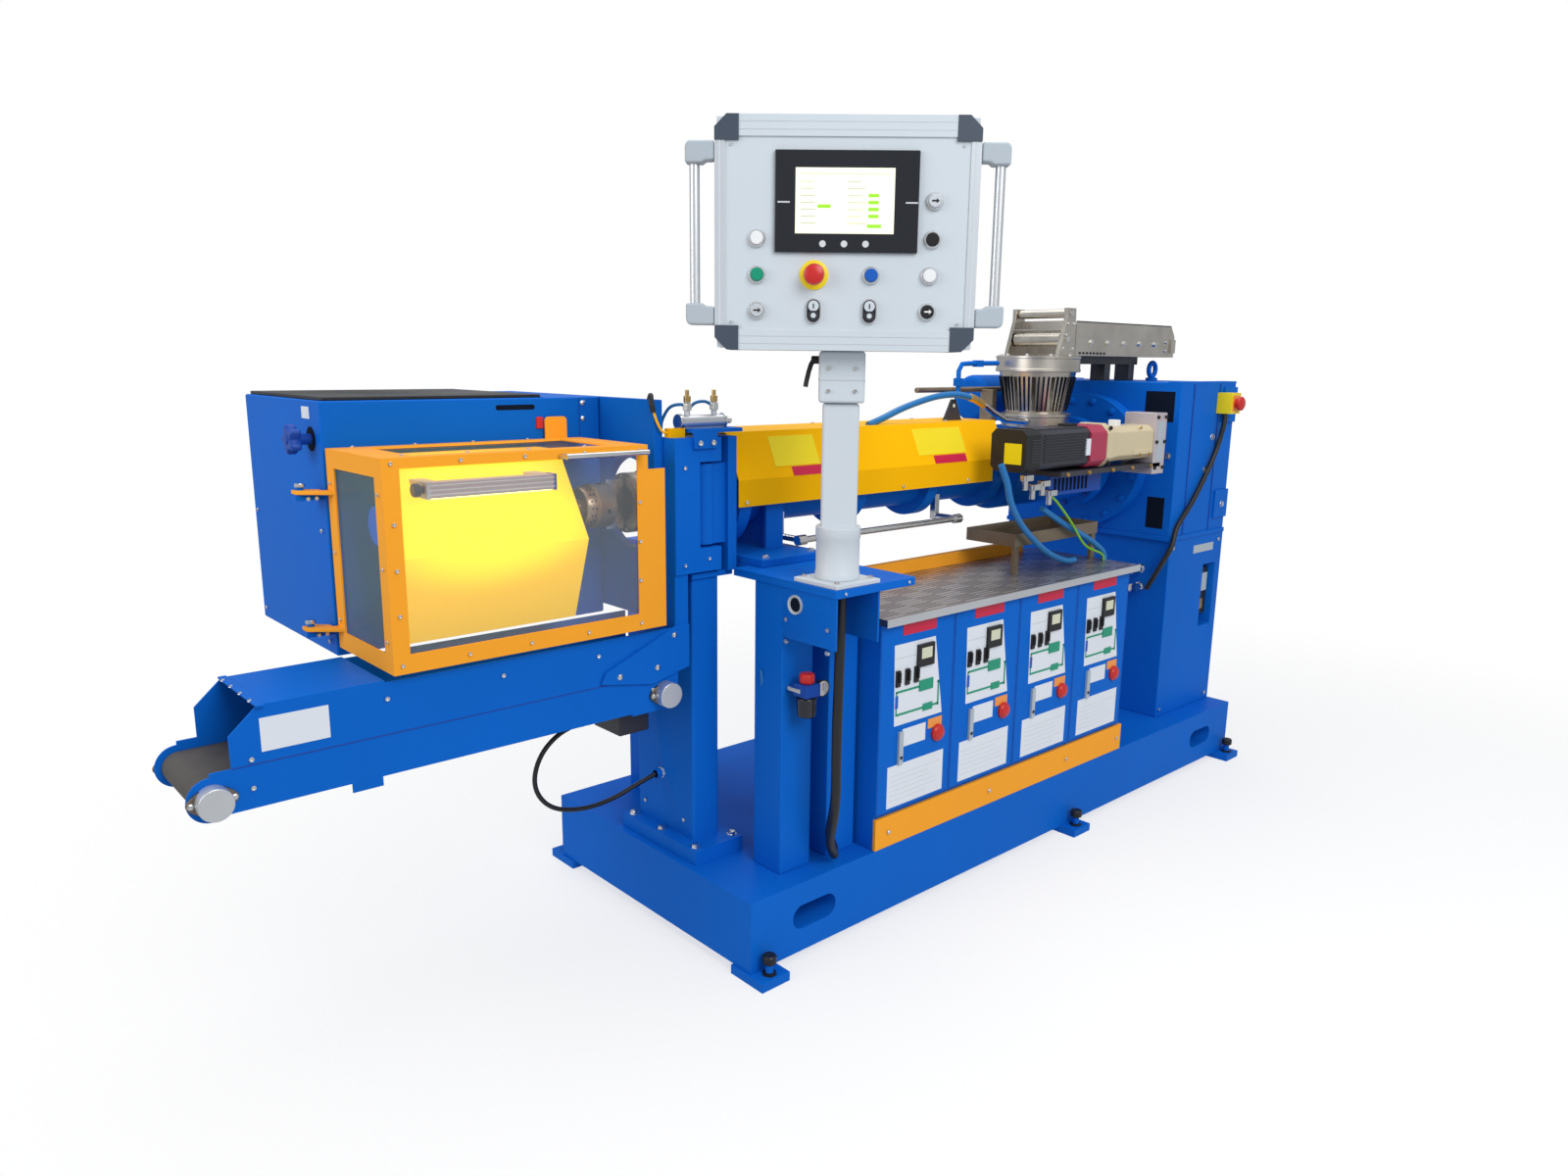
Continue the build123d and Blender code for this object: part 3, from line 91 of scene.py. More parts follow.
def node_group(name: str, inputs: Sequence[tuple], outputs: Sequence[tuple]) -> bpy.types.NodeTree:
    """Makes an empty shader group with named sockets.

    Args:
        name: The group's name.
        inputs: (name, socket type, default) for each input.
        outputs: (name, socket type) for each output.

    Returns:
        The node tree, with one input node and one output node.
    """
    tree = bpy.data.node_groups.new(name, "ShaderNodeTree")
    for label, kind, default in inputs:
        socket = tree.interface.new_socket(name=label, in_out="INPUT", socket_type=kind)
        socket.default_value = default
    for label, kind in outputs:
        tree.interface.new_socket(name=label, in_out="OUTPUT", socket_type=kind)
    tree.nodes.new("NodeGroupInput").name = "in"
    tree.nodes.new("NodeGroupOutput").name = "out"
    return tree


def shader_node(tree: bpy.types.NodeTree, kind: str, inputs: dict, **settings: str) -> bpy.types.Node:
    """Adds a shader node.

    Args:
        tree: The tree it goes into.
        kind: Its type name, without the leading ShaderNode.
        inputs: What each input takes, by name or number: a plain value or another node's socket.
        settings: The node's own options, set before its inputs.

    Returns:
        The new node.
    """
    node = tree.nodes.new(f"ShaderNode{kind}")
    for option, value in settings.items():
        setattr(node, option, value)
    for key, value in inputs.items():
        if isinstance(value, Socket):
            tree.links.new(value, node.inputs[key])
        else:
            node.inputs[key].default_value = value
    return node


def object_place(tree: bpy.types.NodeTree) -> Socket:
    """Socket of the Object coordinates."""
    return shader_node(tree, "TexCoord", {}).outputs["Object"]


def surface_group() -> bpy.types.NodeTree:
    """Soft mottling of colour and roughness with a fine height grain, all on Object coordinates.

    Returns:
        The group's tree.
    """
    tree = node_group(
        "Surface variation",
        [
            ("Color", "NodeSocketColor", (0.5, 0.5, 0.5, 1.0)),
            ("Roughness", "NodeSocketFloat", 0.4),
            ("Mottle", "NodeSocketFloat", 0.1),
            ("Mottle Scale", "NodeSocketFloat", 4.0),
            ("Grain Scale", "NodeSocketFloat", 400.0),
        ],
        [("Color", "NodeSocketColor"), ("Roughness", "NodeSocketFloat"), ("Height", "NodeSocketFloat")],
    )
    source, sink = tree.nodes["in"].outputs, tree.nodes["out"].inputs
    place = object_place(tree)
    patches = shader_node(tree, "TexNoise", {"Detail": 5.0, "Vector": place, "Scale": source["Mottle Scale"]})
    spread = shader_node(tree, "MapRange", {"From Min": 0.3, "From Max": 0.7, "To Min": -1.0,
                                            "Value": patches.outputs["Fac"]})
    swing = shader_node(tree, "Math", {0: spread.outputs["Result"], 1: source["Mottle"]},
                        operation="MULTIPLY")
    bright = shader_node(tree, "Math", {0: swing.outputs["Value"], 1: 1.0})
    tint = shader_node(tree, "VectorMath", {0: source["Color"], "Scale": bright.outputs["Value"]},
                       operation="SCALE")
    rough = shader_node(tree, "Math", {0: swing.outputs["Value"], 1: 0.6, 2: source["Roughness"]},
                        operation="MULTIPLY_ADD")
    grain = shader_node(tree, "TexNoise", {"Detail": 2.0, "Vector": place, "Scale": source["Grain Scale"]})
    tree.links.new(tint.outputs["Vector"], sink["Color"])
    tree.links.new(rough.outputs["Value"], sink["Roughness"])
    tree.links.new(grain.outputs["Fac"], sink["Height"])
    return tree


@dataclass(frozen=True)
class Finish:
    """One finish: plain values plus mottling and grain from the shared group."""

    name: str
    color: tuple
    roughness: float = 0.35
    metallic: float = 0.0
    coat: float = 0.0
    specular: float = 0.5
    ior: float = 1.5
    mottle: float = 0.05
    mottle_scale: float = 3.0
    grain_scale: float = 350.0
    grain: float = 0.05
    alpha: float = 1.0
    glow: float = 0.0

    def material(self) -> bpy.types.Material:
        """The finish as a material, made on first use; its name differs from every CAD material's."""
        title = f"{self.name} finish"
        return bpy.data.materials.get(title) or self.build(title)

    def build(self, title: str) -> bpy.types.Material:
        """Builds the node tree.

        Args:
            title: The material's name.

        Returns:
            The new material.
        """
        material = bpy.data.materials.new(title)
        material.use_nodes = True
        material.diffuse_color = (*self.color, 1.0)
        tree = material.node_tree
        shader = tree.nodes["Principled BSDF"]
        for socket, value in (("Metallic", self.metallic), ("Coat Weight", self.coat), ("IOR", self.ior),
                              ("Coat Roughness", 0.08), ("Specular IOR Level", self.specular),
                              ("Alpha", self.alpha)):
            shader.inputs[socket].default_value = value
        group = tree.nodes.new("ShaderNodeGroup")
        group.node_tree = bpy.data.node_groups.get("Surface variation") or surface_group()
        for socket, value in (("Color", (*self.color, 1.0)), ("Roughness", self.roughness),
                              ("Mottle", self.mottle), ("Mottle Scale", self.mottle_scale),
                              ("Grain Scale", self.grain_scale)):
            group.inputs[socket].default_value = value
        color, height = self.pattern(tree, group.outputs["Color"], group.outputs["Height"])
        bump = shader_node(tree, "Bump", {"Strength": self.grain, "Distance": 0.001, "Height": height})
        tree.links.new(group.outputs["Roughness"], shader.inputs["Roughness"])
        tree.links.new(color, shader.inputs["Base Color"])
        tree.links.new(bump.outputs["Normal"], shader.inputs["Normal"])
        if self.glow:
            tree.links.new(self.light(tree, color), shader.inputs["Emission Color"])
            shader.inputs["Emission Strength"].default_value = self.glow
        return material

    def light(self, tree: bpy.types.NodeTree, color: Socket) -> Socket:
        """Socket of the light that the surface gives off; a plain glowing finish gives off its own colour."""
        return color

    def pattern(self, tree: bpy.types.NodeTree, color: Socket, height: Socket) -> tuple:
        """Colour and height sockets after this finish's own pattern; a plain finish adds none."""
        return color, height


@dataclass(frozen=True)
class TreadPlate(Finish):
    """Aluminium tread plate: patches of raised bars, dark between them; the bars carry a painted glint,
    weaker on every second patch.
    """

    pitch: float = 0.085
    squash: float = 1.6
    # Painted glint: the share of it that the bars of every second patch keep.
    turned_glint_share: float = 0.58
    # Colour between the bars, under their painted glint.
    between: tuple = (0.17, 0.165, 0.165, 1.0)

    def pattern(self, tree: bpy.types.NodeTree, color: Socket, height: Socket) -> tuple:
        """A chequerboard of patches of raised bars; every second patch has them turned a quarter, and their
        painted glint is weaker.

        Args:
            tree: The material's tree.
            color: The metal's colour.
            height: The metal's grain, which the bars replace.

        Returns:
            The sockets of the colour and the height.
        """
        scale = (1 / self.pitch, self.squash / self.pitch, 0.0)
        cells = shader_node(tree, "VectorMath", {0: object_place(tree), 1: scale}, operation="MULTIPLY")
        white, black = (1.0, 1.0, 1.0, 1.0), (0.0, 0.0, 0.0, 1.0)
        board = shader_node(tree, "TexChecker", {"Scale": 1.0, "Color1": white, "Color2": black,
                                                 "Vector": cells.outputs["Vector"]})
        parts = shader_node(tree, "SeparateXYZ", {"Vector": cells.outputs["Vector"]}).outputs
        across, along = self.stripes(tree, parts["Y"], 3.0), self.stripes(tree, parts["X"], 5.0)
        chosen = shader_node(tree, "Mix", {"Factor": board.outputs["Fac"], "A": across, "B": along})
        # Painted glint: the bars of every second patch are painted dimmer.
        tone = shader_node(tree, "MapRange", {"To Min": 1.0, "To Max": self.turned_glint_share,
                                              "Value": board.outputs["Fac"]})
        lit = shader_node(tree, "Math", {0: chosen.outputs["Result"], 1: tone.outputs["Result"]},
                          operation="MULTIPLY")
        # Painted glint: the bars lit in the metal's colour over the dark colour between them.
        mix = shader_node(tree, "Mix", {"A": self.between, "Factor": lit.outputs["Value"], "B": color},
                          data_type="RGBA")
        return mix.outputs["Result"], chosen.outputs["Result"]

    def stripes(self, tree: bpy.types.NodeTree, along: Socket, count: float) -> Socket:
        """Soft-edged bars across one coordinate of the patches.

        Args:
            tree: The material's tree.
            along: The coordinate.
            count: Bars on each patch.

        Returns:
            The socket, 1 on a bar and 0 between two.
        """
        scaled = shader_node(tree, "Math", {0: along, 1: count}, operation="MULTIPLY")
        cycle = shader_node(tree, "Math", {0: scaled.outputs["Value"], 1: 0.5}, operation="PINGPONG")
        edge = shader_node(tree, "MapRange", {"From Min": 0.1, "From Max": 0.22,
                                              "Value": cycle.outputs["Value"]})
        return edge.outputs["Result"]


@dataclass(frozen=True)
class LitSheet(Finish):
    """Yellow sheet with the lamp's light on it: a bright oval under the lamp that fades out below."""

    glow: float = 1.0
    centre: tuple = (-1.83, 0.38, 1.155)
    reach: tuple = (0.215, 0.35, 0.115)
    shine: tuple = (0.95, 0.72, 0.0, 1.0)
    fade: tuple = (0.75, 1.6)
    least: float = 0.42

    def light(self, tree: bpy.types.NodeTree, color: Socket) -> Socket:
        """Distance from the oval's centre, counted in its half sizes, turned into light that falls off.

        Args:
            tree: The material's tree.
            color: The sheet's own colour, which the light doesn't need.

        Returns:
            The socket of the light's colour.
        """
        offset = shader_node(tree, "VectorMath", {0: object_place(tree), 1: self.centre},
                             operation="SUBTRACT")
        scaled = shader_node(tree, "VectorMath", {0: offset.outputs["Vector"], 1: self.reach},
                             operation="DIVIDE")
        far = shader_node(tree, "VectorMath", {0: scaled.outputs["Vector"]}, operation="LENGTH")
        fall = shader_node(tree, "MapRange", {"From Min": self.fade[0], "From Max": self.fade[1],
                                              "To Min": 1.0,
                                              "To Max": self.least, "Value": far.outputs["Value"]},
                           interpolation_type="SMOOTHSTEP")
        mix = shader_node(tree, "Mix", {"A": (0.0, 0.0, 0.0, 1.0), "B": self.shine,
                                        "Factor": fall.outputs["Result"]}, data_type="RGBA")
        return mix.outputs["Result"]


BLUE = Finish("blue_paint", (0.004, 0.135, 0.6), roughness=0.42, ior=1.14, mottle=0.05, mottle_scale=2.0,
              grain=0.04)
DEEP_BLUE = Finish("blue_moulding", (0.005, 0.06, 0.36), roughness=0.4, specular=0.3, mottle=0.08,
                   mottle_scale=8.0)
YELLOW = Finish("yellow_paint", (1.0, 0.5, 0.002), roughness=0.4, ior=1.12, mottle=0.03, mottle_scale=2.0)
AMBER = Finish("amber_paint", (1.0, 0.4, 0.03), roughness=0.42, ior=1.15, mottle=0.03, mottle_scale=2.0)
PALE = Finish("pale_grey_paint", (0.62, 0.68, 0.73), roughness=0.42, specular=0.35, mottle=0.02, grain=0.06,
              grain_scale=900.0)
BRACKET_GREY = Finish("grey_moulding", (0.44, 0.5, 0.55), roughness=0.45, specular=0.35, mottle=0.02,
                      grain=0.06)
PROFILE = Finish("silver_profile", (0.62, 0.66, 0.7), roughness=0.42, metallic=0.35, mottle=0.03)
CORNER = Finish("slate_corner_cap", (0.05, 0.068, 0.1), roughness=0.45, mottle=0.05)
STEEL = Finish("stainless_sheet", (0.6, 0.56, 0.5), roughness=0.3, metallic=1.0, mottle=0.14,
               mottle_scale=9.0)
BRIGHT = Finish("turned_steel", (0.74, 0.74, 0.73), roughness=0.22, metallic=1.0, mottle=0.06,
                mottle_scale=20.0)
DULL = Finish("cast_steel", (0.2, 0.17, 0.14), roughness=0.42, metallic=0.9, mottle=0.15, mottle_scale=12.0,
              grain=0.2)
BRONZED = Finish("oiled_steel", (0.36, 0.28, 0.2), roughness=0.35, metallic=0.9, mottle=0.12,
                 mottle_scale=14.0)
ALUMINIUM = Finish("anodised_aluminium", (0.68, 0.7, 0.72), roughness=0.38, metallic=0.8, mottle=0.04)
LAMP_BODY = Finish("lamp_housing", (0.45, 0.4, 0.44), roughness=0.4, metallic=0.4, mottle=0.04)
TREAD = TreadPlate("tread_plate", (0.72, 0.7, 0.69), roughness=0.32, metallic=0.8, mottle=0.1, grain=0.9)
BLACK = Finish("black_plastic", (0.012, 0.012, 0.014), roughness=0.45, specular=0.4, mottle=0.2, grain=0.15)
BLACK_PAINT = Finish("black_machine_paint", (0.03, 0.03, 0.042), roughness=0.38, mottle=0.2)
# Near-black painted shade for the insides of holes, slots and gaps.
PAINTED_RECESS_SHADE = Finish("painted_recess_shade", (0.004, 0.008, 0.02), roughness=0.8, specular=0.1)
GLASS_BLACK = Finish("dark_bezel", (0.006, 0.008, 0.014), roughness=0.14, coat=0.4, mottle=0.1)
CREAM = Finish("cream_paint", (0.66, 0.56, 0.36), roughness=0.42, mottle=0.05)
END_PLATE = Finish("pale_end_plate", (0.6, 0.53, 0.56), roughness=0.35, metallic=0.3, mottle=0.08)
CRIMSON = Finish("crimson_paint", (0.42, 0.03, 0.08), roughness=0.38, mottle=0.05)
RUBBER = Finish("belt_rubber", (0.075, 0.068, 0.062), roughness=0.7, mottle=0.18, mottle_scale=14.0,
                grain=0.4)
HOSE_BLACK = Finish("black_hose", (0.01, 0.01, 0.011), roughness=0.42, mottle=0.1)
HOSE_BLUE = Finish("blue_hose", (0.01, 0.17, 0.46), roughness=0.35, mottle=0.05)
EARTH = Finish("green_yellow_wire", (0.2, 0.5, 0.02), roughness=0.4)
BRASS = Finish("brass", (0.62, 0.42, 0.16), roughness=0.3, metallic=1.0, mottle=0.12, mottle_scale=20.0)
RED = Finish("red_plastic", (0.6, 0.02, 0.015), roughness=0.32, mottle=0.03)
LABEL_RED = Finish("plain_red_plate", (0.6, 0.004, 0.05), roughness=0.4, mottle=0.03)
GREEN = Finish("green_plastic", (0.0, 0.3, 0.17), roughness=0.32, mottle=0.03)
BUTTON_BLUE = Finish("blue_button", (0.0, 0.1, 0.5), roughness=0.32, mottle=0.03)
WHITE = Finish("white_plastic", (0.86, 0.87, 0.88), roughness=0.38, mottle=0.02)
PLATE_WHITE = Finish("white_plate", (0.78, 0.82, 0.88), roughness=0.4, mottle=0.02)
SIGNAL = Finish("signal_yellow", (0.93, 0.72, 0.0), roughness=0.4, mottle=0.03)
ORANGE = Finish("orange_plate", (0.9, 0.33, 0.06), roughness=0.4, mottle=0.03)
KHAKI = Finish("khaki_steel", (0.24, 0.19, 0.13), roughness=0.42, metallic=0.6, mottle=0.15, mottle_scale=8.0)
ACRYLIC = Finish("clear_acrylic", (0.85, 0.9, 0.92), roughness=0.05, mottle=0.0, grain=0.0, alpha=0.07)
SCREEN = Finish("lit_screen", (0.95, 0.93, 0.68), roughness=0.35, mottle=0.02, glow=0.42)
SCREEN_INK = Finish("screen_green", (0.3, 0.85, 0.02), roughness=0.35, glow=0.3)
SCREEN_LINE = Finish("screen_lines", (0.55, 0.56, 0.42), roughness=0.35, glow=0.2)
SCREEN_LINE_PALE = Finish("bezel_marks", (0.68, 0.7, 0.72), roughness=0.4)
LAMP_GLOW = Finish("lamp_lens", (1.0, 0.85, 0.2), roughness=0.4, mottle=0.0, glow=3.0)
LIT_SHEET = LitSheet("lit_yellow_sheet", (0.98, 0.46, 0.005), roughness=0.45, ior=1.15, mottle=0.03)


class Shape:
    """Gathers grids, boxes and turned forms of one piece and turns them into one object.

    Sizes are laid out in millimetres from the floor under the skid's middle, as the part's are,
    and every point is then carried to the frame under the front middle foot.
    """

    def __init__(self, name: str, body: Body, frame: Optional[Matrix] = None) -> None:
        """Starts an empty shape.

        Args:
            name: The object's name.
            body: The rigid body it rides on.
            frame: Local frame, in millimetres, that the points are given in.
        """
        self.name = name
        self.body = body
        self.frame = np.array(frame if frame is not None else Matrix.Identity(4))
        self.points: list = []
        self.faces: list = []
        self.finish_of: list = []
        self.smooth: list = []
        self.finishes: list = []
        self.count = 0

    def add(self, points: np.ndarray, faces: Iterable, finish: Finish, smooth: bool) -> None:
        """Adds a patch of points with faces that index into them.

        Args:
            points: Points in millimetres, in the shape's own frame.
            faces: Lists of point numbers.
            finish: The patch's finish.
            smooth: Whether the patch is shaded smooth.
        """
        if finish not in self.finishes:
            self.finishes.append(finish)
        slot = self.finishes.index(finish)
        flat = np.asarray(points, dtype=float).reshape(-1, 3)
        turned = flat @ self.frame[:3, :3].T + self.frame[:3, 3] + np.array(LAYOUT_TO_FOOT)
        self.points.append(turned)
        for face in faces:
            self.faces.append([int(i) + self.count for i in face])
            self.finish_of.append(slot)
            self.smooth.append(smooth)
        self.count += len(flat)

    def grid(self, points: np.ndarray, finish: Finish, closed: bool = True, caps: bool = True,
             smooth: bool = True) -> "Shape":
        """Adds a surface over a grid: rows run along it, columns round it.

        Args:
            points: Array of (rows, columns, 3).
            finish: The patch's finish.
            closed: Whether the last column joins the first.
            caps: Whether the first and last rows are closed with a face.
            smooth: Whether the surface is shaded smooth.

        Returns:
            The shape itself.
        """
        rows, columns = points.shape[:2]
        row, column = np.meshgrid(np.arange(rows - 1), np.arange(columns if closed else columns - 1),
                                  indexing="ij")
        after = (column + 1) % columns
        quads = np.stack([row * columns + column, row * columns + after, (row + 1) * columns + after,
                          (row + 1) * columns + column], axis=-1).reshape(-1, 4)
        faces = quads.tolist()
        if caps:
            faces.append(list(range(columns))[::-1])
            faces.append([(rows - 1) * columns + i for i in range(columns)])
        self.add(points, faces, finish, smooth)
        return self

    def box(self, low: Point, high: Point, finish: Finish) -> "Shape":
        """Adds a box.

        Args:
            low: Its least corner.
            high: Its greatest corner.
            finish: Its finish.

        Returns:
            The shape itself.
        """
        unit = np.array([[x, y, z] for x in (0, 1) for y in (0, 1) for z in (0, 1)], dtype=float)
        corners = np.asarray(low) + unit * (np.asarray(high) - np.asarray(low))
        faces = [(0, 1, 3, 2), (4, 6, 7, 5), (0, 4, 5, 1), (2, 3, 7, 6), (0, 2, 6, 4), (1, 5, 7, 3)]
        self.add(corners, faces, finish, False)
        return self

    def prism(self, outline: Sequence[Point], axis: Axis, start: float, end: float,
              finish: Finish) -> "Shape":
        """Carries a flat outline along an axis.

        Args:
            outline: Pairs of the other two coordinates, in order.
            axis: The axis.
            start: Where it starts on the axis.
            end: Where it ends.
            finish: Its finish.

        Returns:
            The shape itself.
        """
        flat = np.asarray(outline, dtype=float)
        others = [i for i in range(3) if i != axis.value]
        rows = np.zeros((2, len(flat), 3))
        rows[:, :, others[0]] = flat[:, 0]
        rows[:, :, others[1]] = flat[:, 1]
        rows[0, :, axis.value] = start
        rows[1, :, axis.value] = end
        return self.grid(rows, finish, smooth=False)

    def turned(self, profile: Sequence[Point], centre: Point, axis: Axis, finish: Finish,
               sides: int = 32, smooth: bool = True) -> "Shape":
        """Turns a profile about an axis.

        Args:
            profile: Pairs of distance along the axis and radius.
            centre: Where the profile's distances start.
            axis: The axis.
            finish: Its finish.
            sides: Faces round it.
            smooth: Whether it is shaded smooth.

        Returns:
            The shape itself.
        """
        line = np.asarray(profile, dtype=float)
        angle = np.linspace(0, 2 * np.pi, sides, endpoint=False)
        others = [i for i in range(3) if i != axis.value]
        points = np.zeros((len(line), sides, 3))
        points[:, :, axis.value] = line[:, :1] + centre[axis.value]
        points[:, :, others[0]] = line[:, 1:] * np.cos(angle) + centre[others[0]]
        points[:, :, others[1]] = line[:, 1:] * np.sin(angle) + centre[others[1]]
        return self.grid(points, finish, smooth=smooth)

    def tube(self, path: Sequence[Point], radius: float, finish: Finish, sides: int = 12) -> "Shape":
        """Carries a circle along a path; each ring stands square to the path's mean direction there.

        Args:
            path: Points of the path.
            radius: The circle's radius.
            finish: Its finish.
            sides: Faces round it.

        Returns:
            The shape itself.
        """
        line = np.asarray(path, dtype=float)
        along = np.gradient(line, axis=0)
        along /= np.linalg.norm(along, axis=1, keepdims=True)
        side = np.empty_like(along)
        start = np.array([0.0, 0.0, 1.0]) if abs(along[0, 2]) < 0.9 else np.array([1.0, 0.0, 0.0])
        for index, direction in enumerate(along):
            start = start - direction * float(start @ direction)
            start = start / np.linalg.norm(start)
            side[index] = start
        up = np.cross(along, side)
        angle = np.linspace(0, 2 * np.pi, sides, endpoint=False)
        ring = side[:, None, :] * np.cos(angle)[None, :, None] + up[:, None, :] * np.sin(angle)[None, :, None]
        return self.grid(line[:, None, :] + radius * ring, finish)

    def bolts(self, places: Iterable[Point], axis: Axis, side: int, size: float = 6.0,
              finish: Optional[Finish] = None, socket: bool = False) -> "Shape":
        """Adds round socket heads, or hexagon heads on washers, that stand off a face.

        Args:
            places: Where each one meets the face.
            axis: The axis that they stand along.
            side: +1 or -1, the way that they point.
            size: The head's radius.
            finish: Their finish, turned steel unless given.
            socket: Whether they are socket heads.

        Returns:
            The shape itself.
        """
        metal = finish or BRIGHT
        if socket:
            profile = [(0, size), (size * 0.9, size), (size, size * 0.9), (size, size * 0.5),
                       (size * 0.5, size * 0.45)]
            sides = 14
        else:
            profile = [(0, size * 1.3), (size * 0.16, size * 1.3), (size * 0.17, size), (size * 0.75, size),
                       (size * 0.85, size * 0.85)]
            sides = 6
        line = [(along * side, radius) for along, radius in profile]
        for place in places:
            self.turned(line, place, axis, metal, sides=sides, smooth=False)
        return self

    def finished(self, bevel: float = 0.0, segments: int = 2,
                 replaces: Sequence[str] = ()) -> bpy.types.Object:
        """Makes the object, points its faces outwards and puts it on its body.

        Args:
            bevel: Edge radius in millimetres, or none.
            segments: Rows of faces across a rounded edge.
            replaces: CAD nodes that this piece stands for.

        Returns:
            The new object.
        """
        mesh = bpy.data.meshes.new(self.name)
        mesh.from_pydata((np.concatenate(self.points) * MM).tolist(), [], self.faces)
        for finish in self.finishes:
            mesh.materials.append(finish.material())
        mesh.polygons.foreach_set("material_index", self.finish_of)
        mesh.polygons.foreach_set("use_smooth", self.smooth)
        outward(mesh)
        return settle(bpy.data.objects.new(self.name, mesh), self.body, bevel, segments, replaces)


def outward(mesh: bpy.types.Mesh) -> None:
    """Points every closed shell's faces outwards.

    Args:
        mesh: The mesh, changed in place.
    """
    work = bmesh.new()
    work.from_mesh(mesh)
    bmesh.ops.recalc_face_normals(work, faces=work.faces)
    work.to_mesh(mesh)
    work.free()


def settle(piece: bpy.types.Object, body: Body, bevel: float, segments: int,
           replaces: Sequence[str]) -> bpy.types.Object:
    """Links a piece, rounds its edges and ties it to its body.

    Args:
        piece: The new object.
        body: The body it rides on.
        bevel: Edge radius in millimetres, or none.
        segments: Rows of faces across a rounded edge.
        replaces: CAD nodes that the piece stands for.

    Returns:
        The same object.
    """
    bpy.context.scene.collection.objects.link(piece)
    piece.data.set_sharp_from_angle(angle=SHARP_ANGLE)
    if bevel:
        rounding = piece.modifiers.new("Rounded edges", "BEVEL")
        rounding.width = bevel * MM
        rounding.segments = segments
        rounding.limit_method = "ANGLE"
        rounding.angle_limit = SHARP_ANGLE
        rounding.harden_normals = True
        rounding.use_clamp_overlap = True
    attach(piece, body.value)
    if replaces:
        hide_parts(*replaces)
    LOG.info("%s rides on %s", piece.name, body.value)
    return piece


def stadium(x: float, z: float, radius: float, half: float, steps: int = 10) -> list:
    """Outline of a rounded slot: two half circles joined by straight sides, longer along the second axis.

    Args:
        x: The middle's first coordinate.
        z: The middle's second coordinate.
        radius: Radius of the half circles.
        half: Half of the slot's length.
        steps: Points on each half circle.

    Returns:
        Pairs of coordinates.
    """
    turn = np.linspace(0, np.pi, steps)
    upper = np.stack([x + radius * np.cos(turn), z + half - radius + radius * np.sin(turn)], axis=1)
    lower = np.stack([x - radius * np.cos(turn), z - half + radius - radius * np.sin(turn)], axis=1)
    return np.concatenate([upper, lower]).tolist()


def rounded_copy(node: str, body: Body, finish: Finish, bevel: float) -> bpy.types.Object:
    """A merged copy of a CAD node with softened edges, which stands for it.

    Args:
        node: The CAD node.
        body: The body it rides on.
        finish: The copy's finish.
        bevel: Edge radius in millimetres.

    Returns:
        The new object.
    """
    source = bpy.data.objects[node].data
    work = bmesh.new()
    work.from_mesh(source)
    bmesh.ops.remove_doubles(work, verts=work.verts, dist=MERGE_DISTANCE)
    bmesh.ops.dissolve_limit(work, angle_limit=FLAT_ANGLE, verts=work.verts, edges=work.edges)
    bmesh.ops.recalc_face_normals(work, faces=work.faces)
    mesh = bpy.data.meshes.new(f"{node}_form")
    work.to_mesh(mesh)
    work.free()
    mesh.materials.clear()
    mesh.materials.append(finish.material())
    mesh.polygons.foreach_set("material_index", [0] * len(mesh.polygons))
    mesh.polygons.foreach_set("use_smooth", [True] * len(mesh.polygons))
    return settle(bpy.data.objects.new(f"{node}_form", mesh), body, bevel, 2, (node,))


def dressed_node(node: str, finish: Finish) -> None:
    """Gives a CAD node that keeps its own form its finish.

    Args:
        node: The CAD node.
        finish: Its finish.
    """
    data = bpy.data.objects[node].data
    data.materials.clear()
    data.materials.append(finish.material())


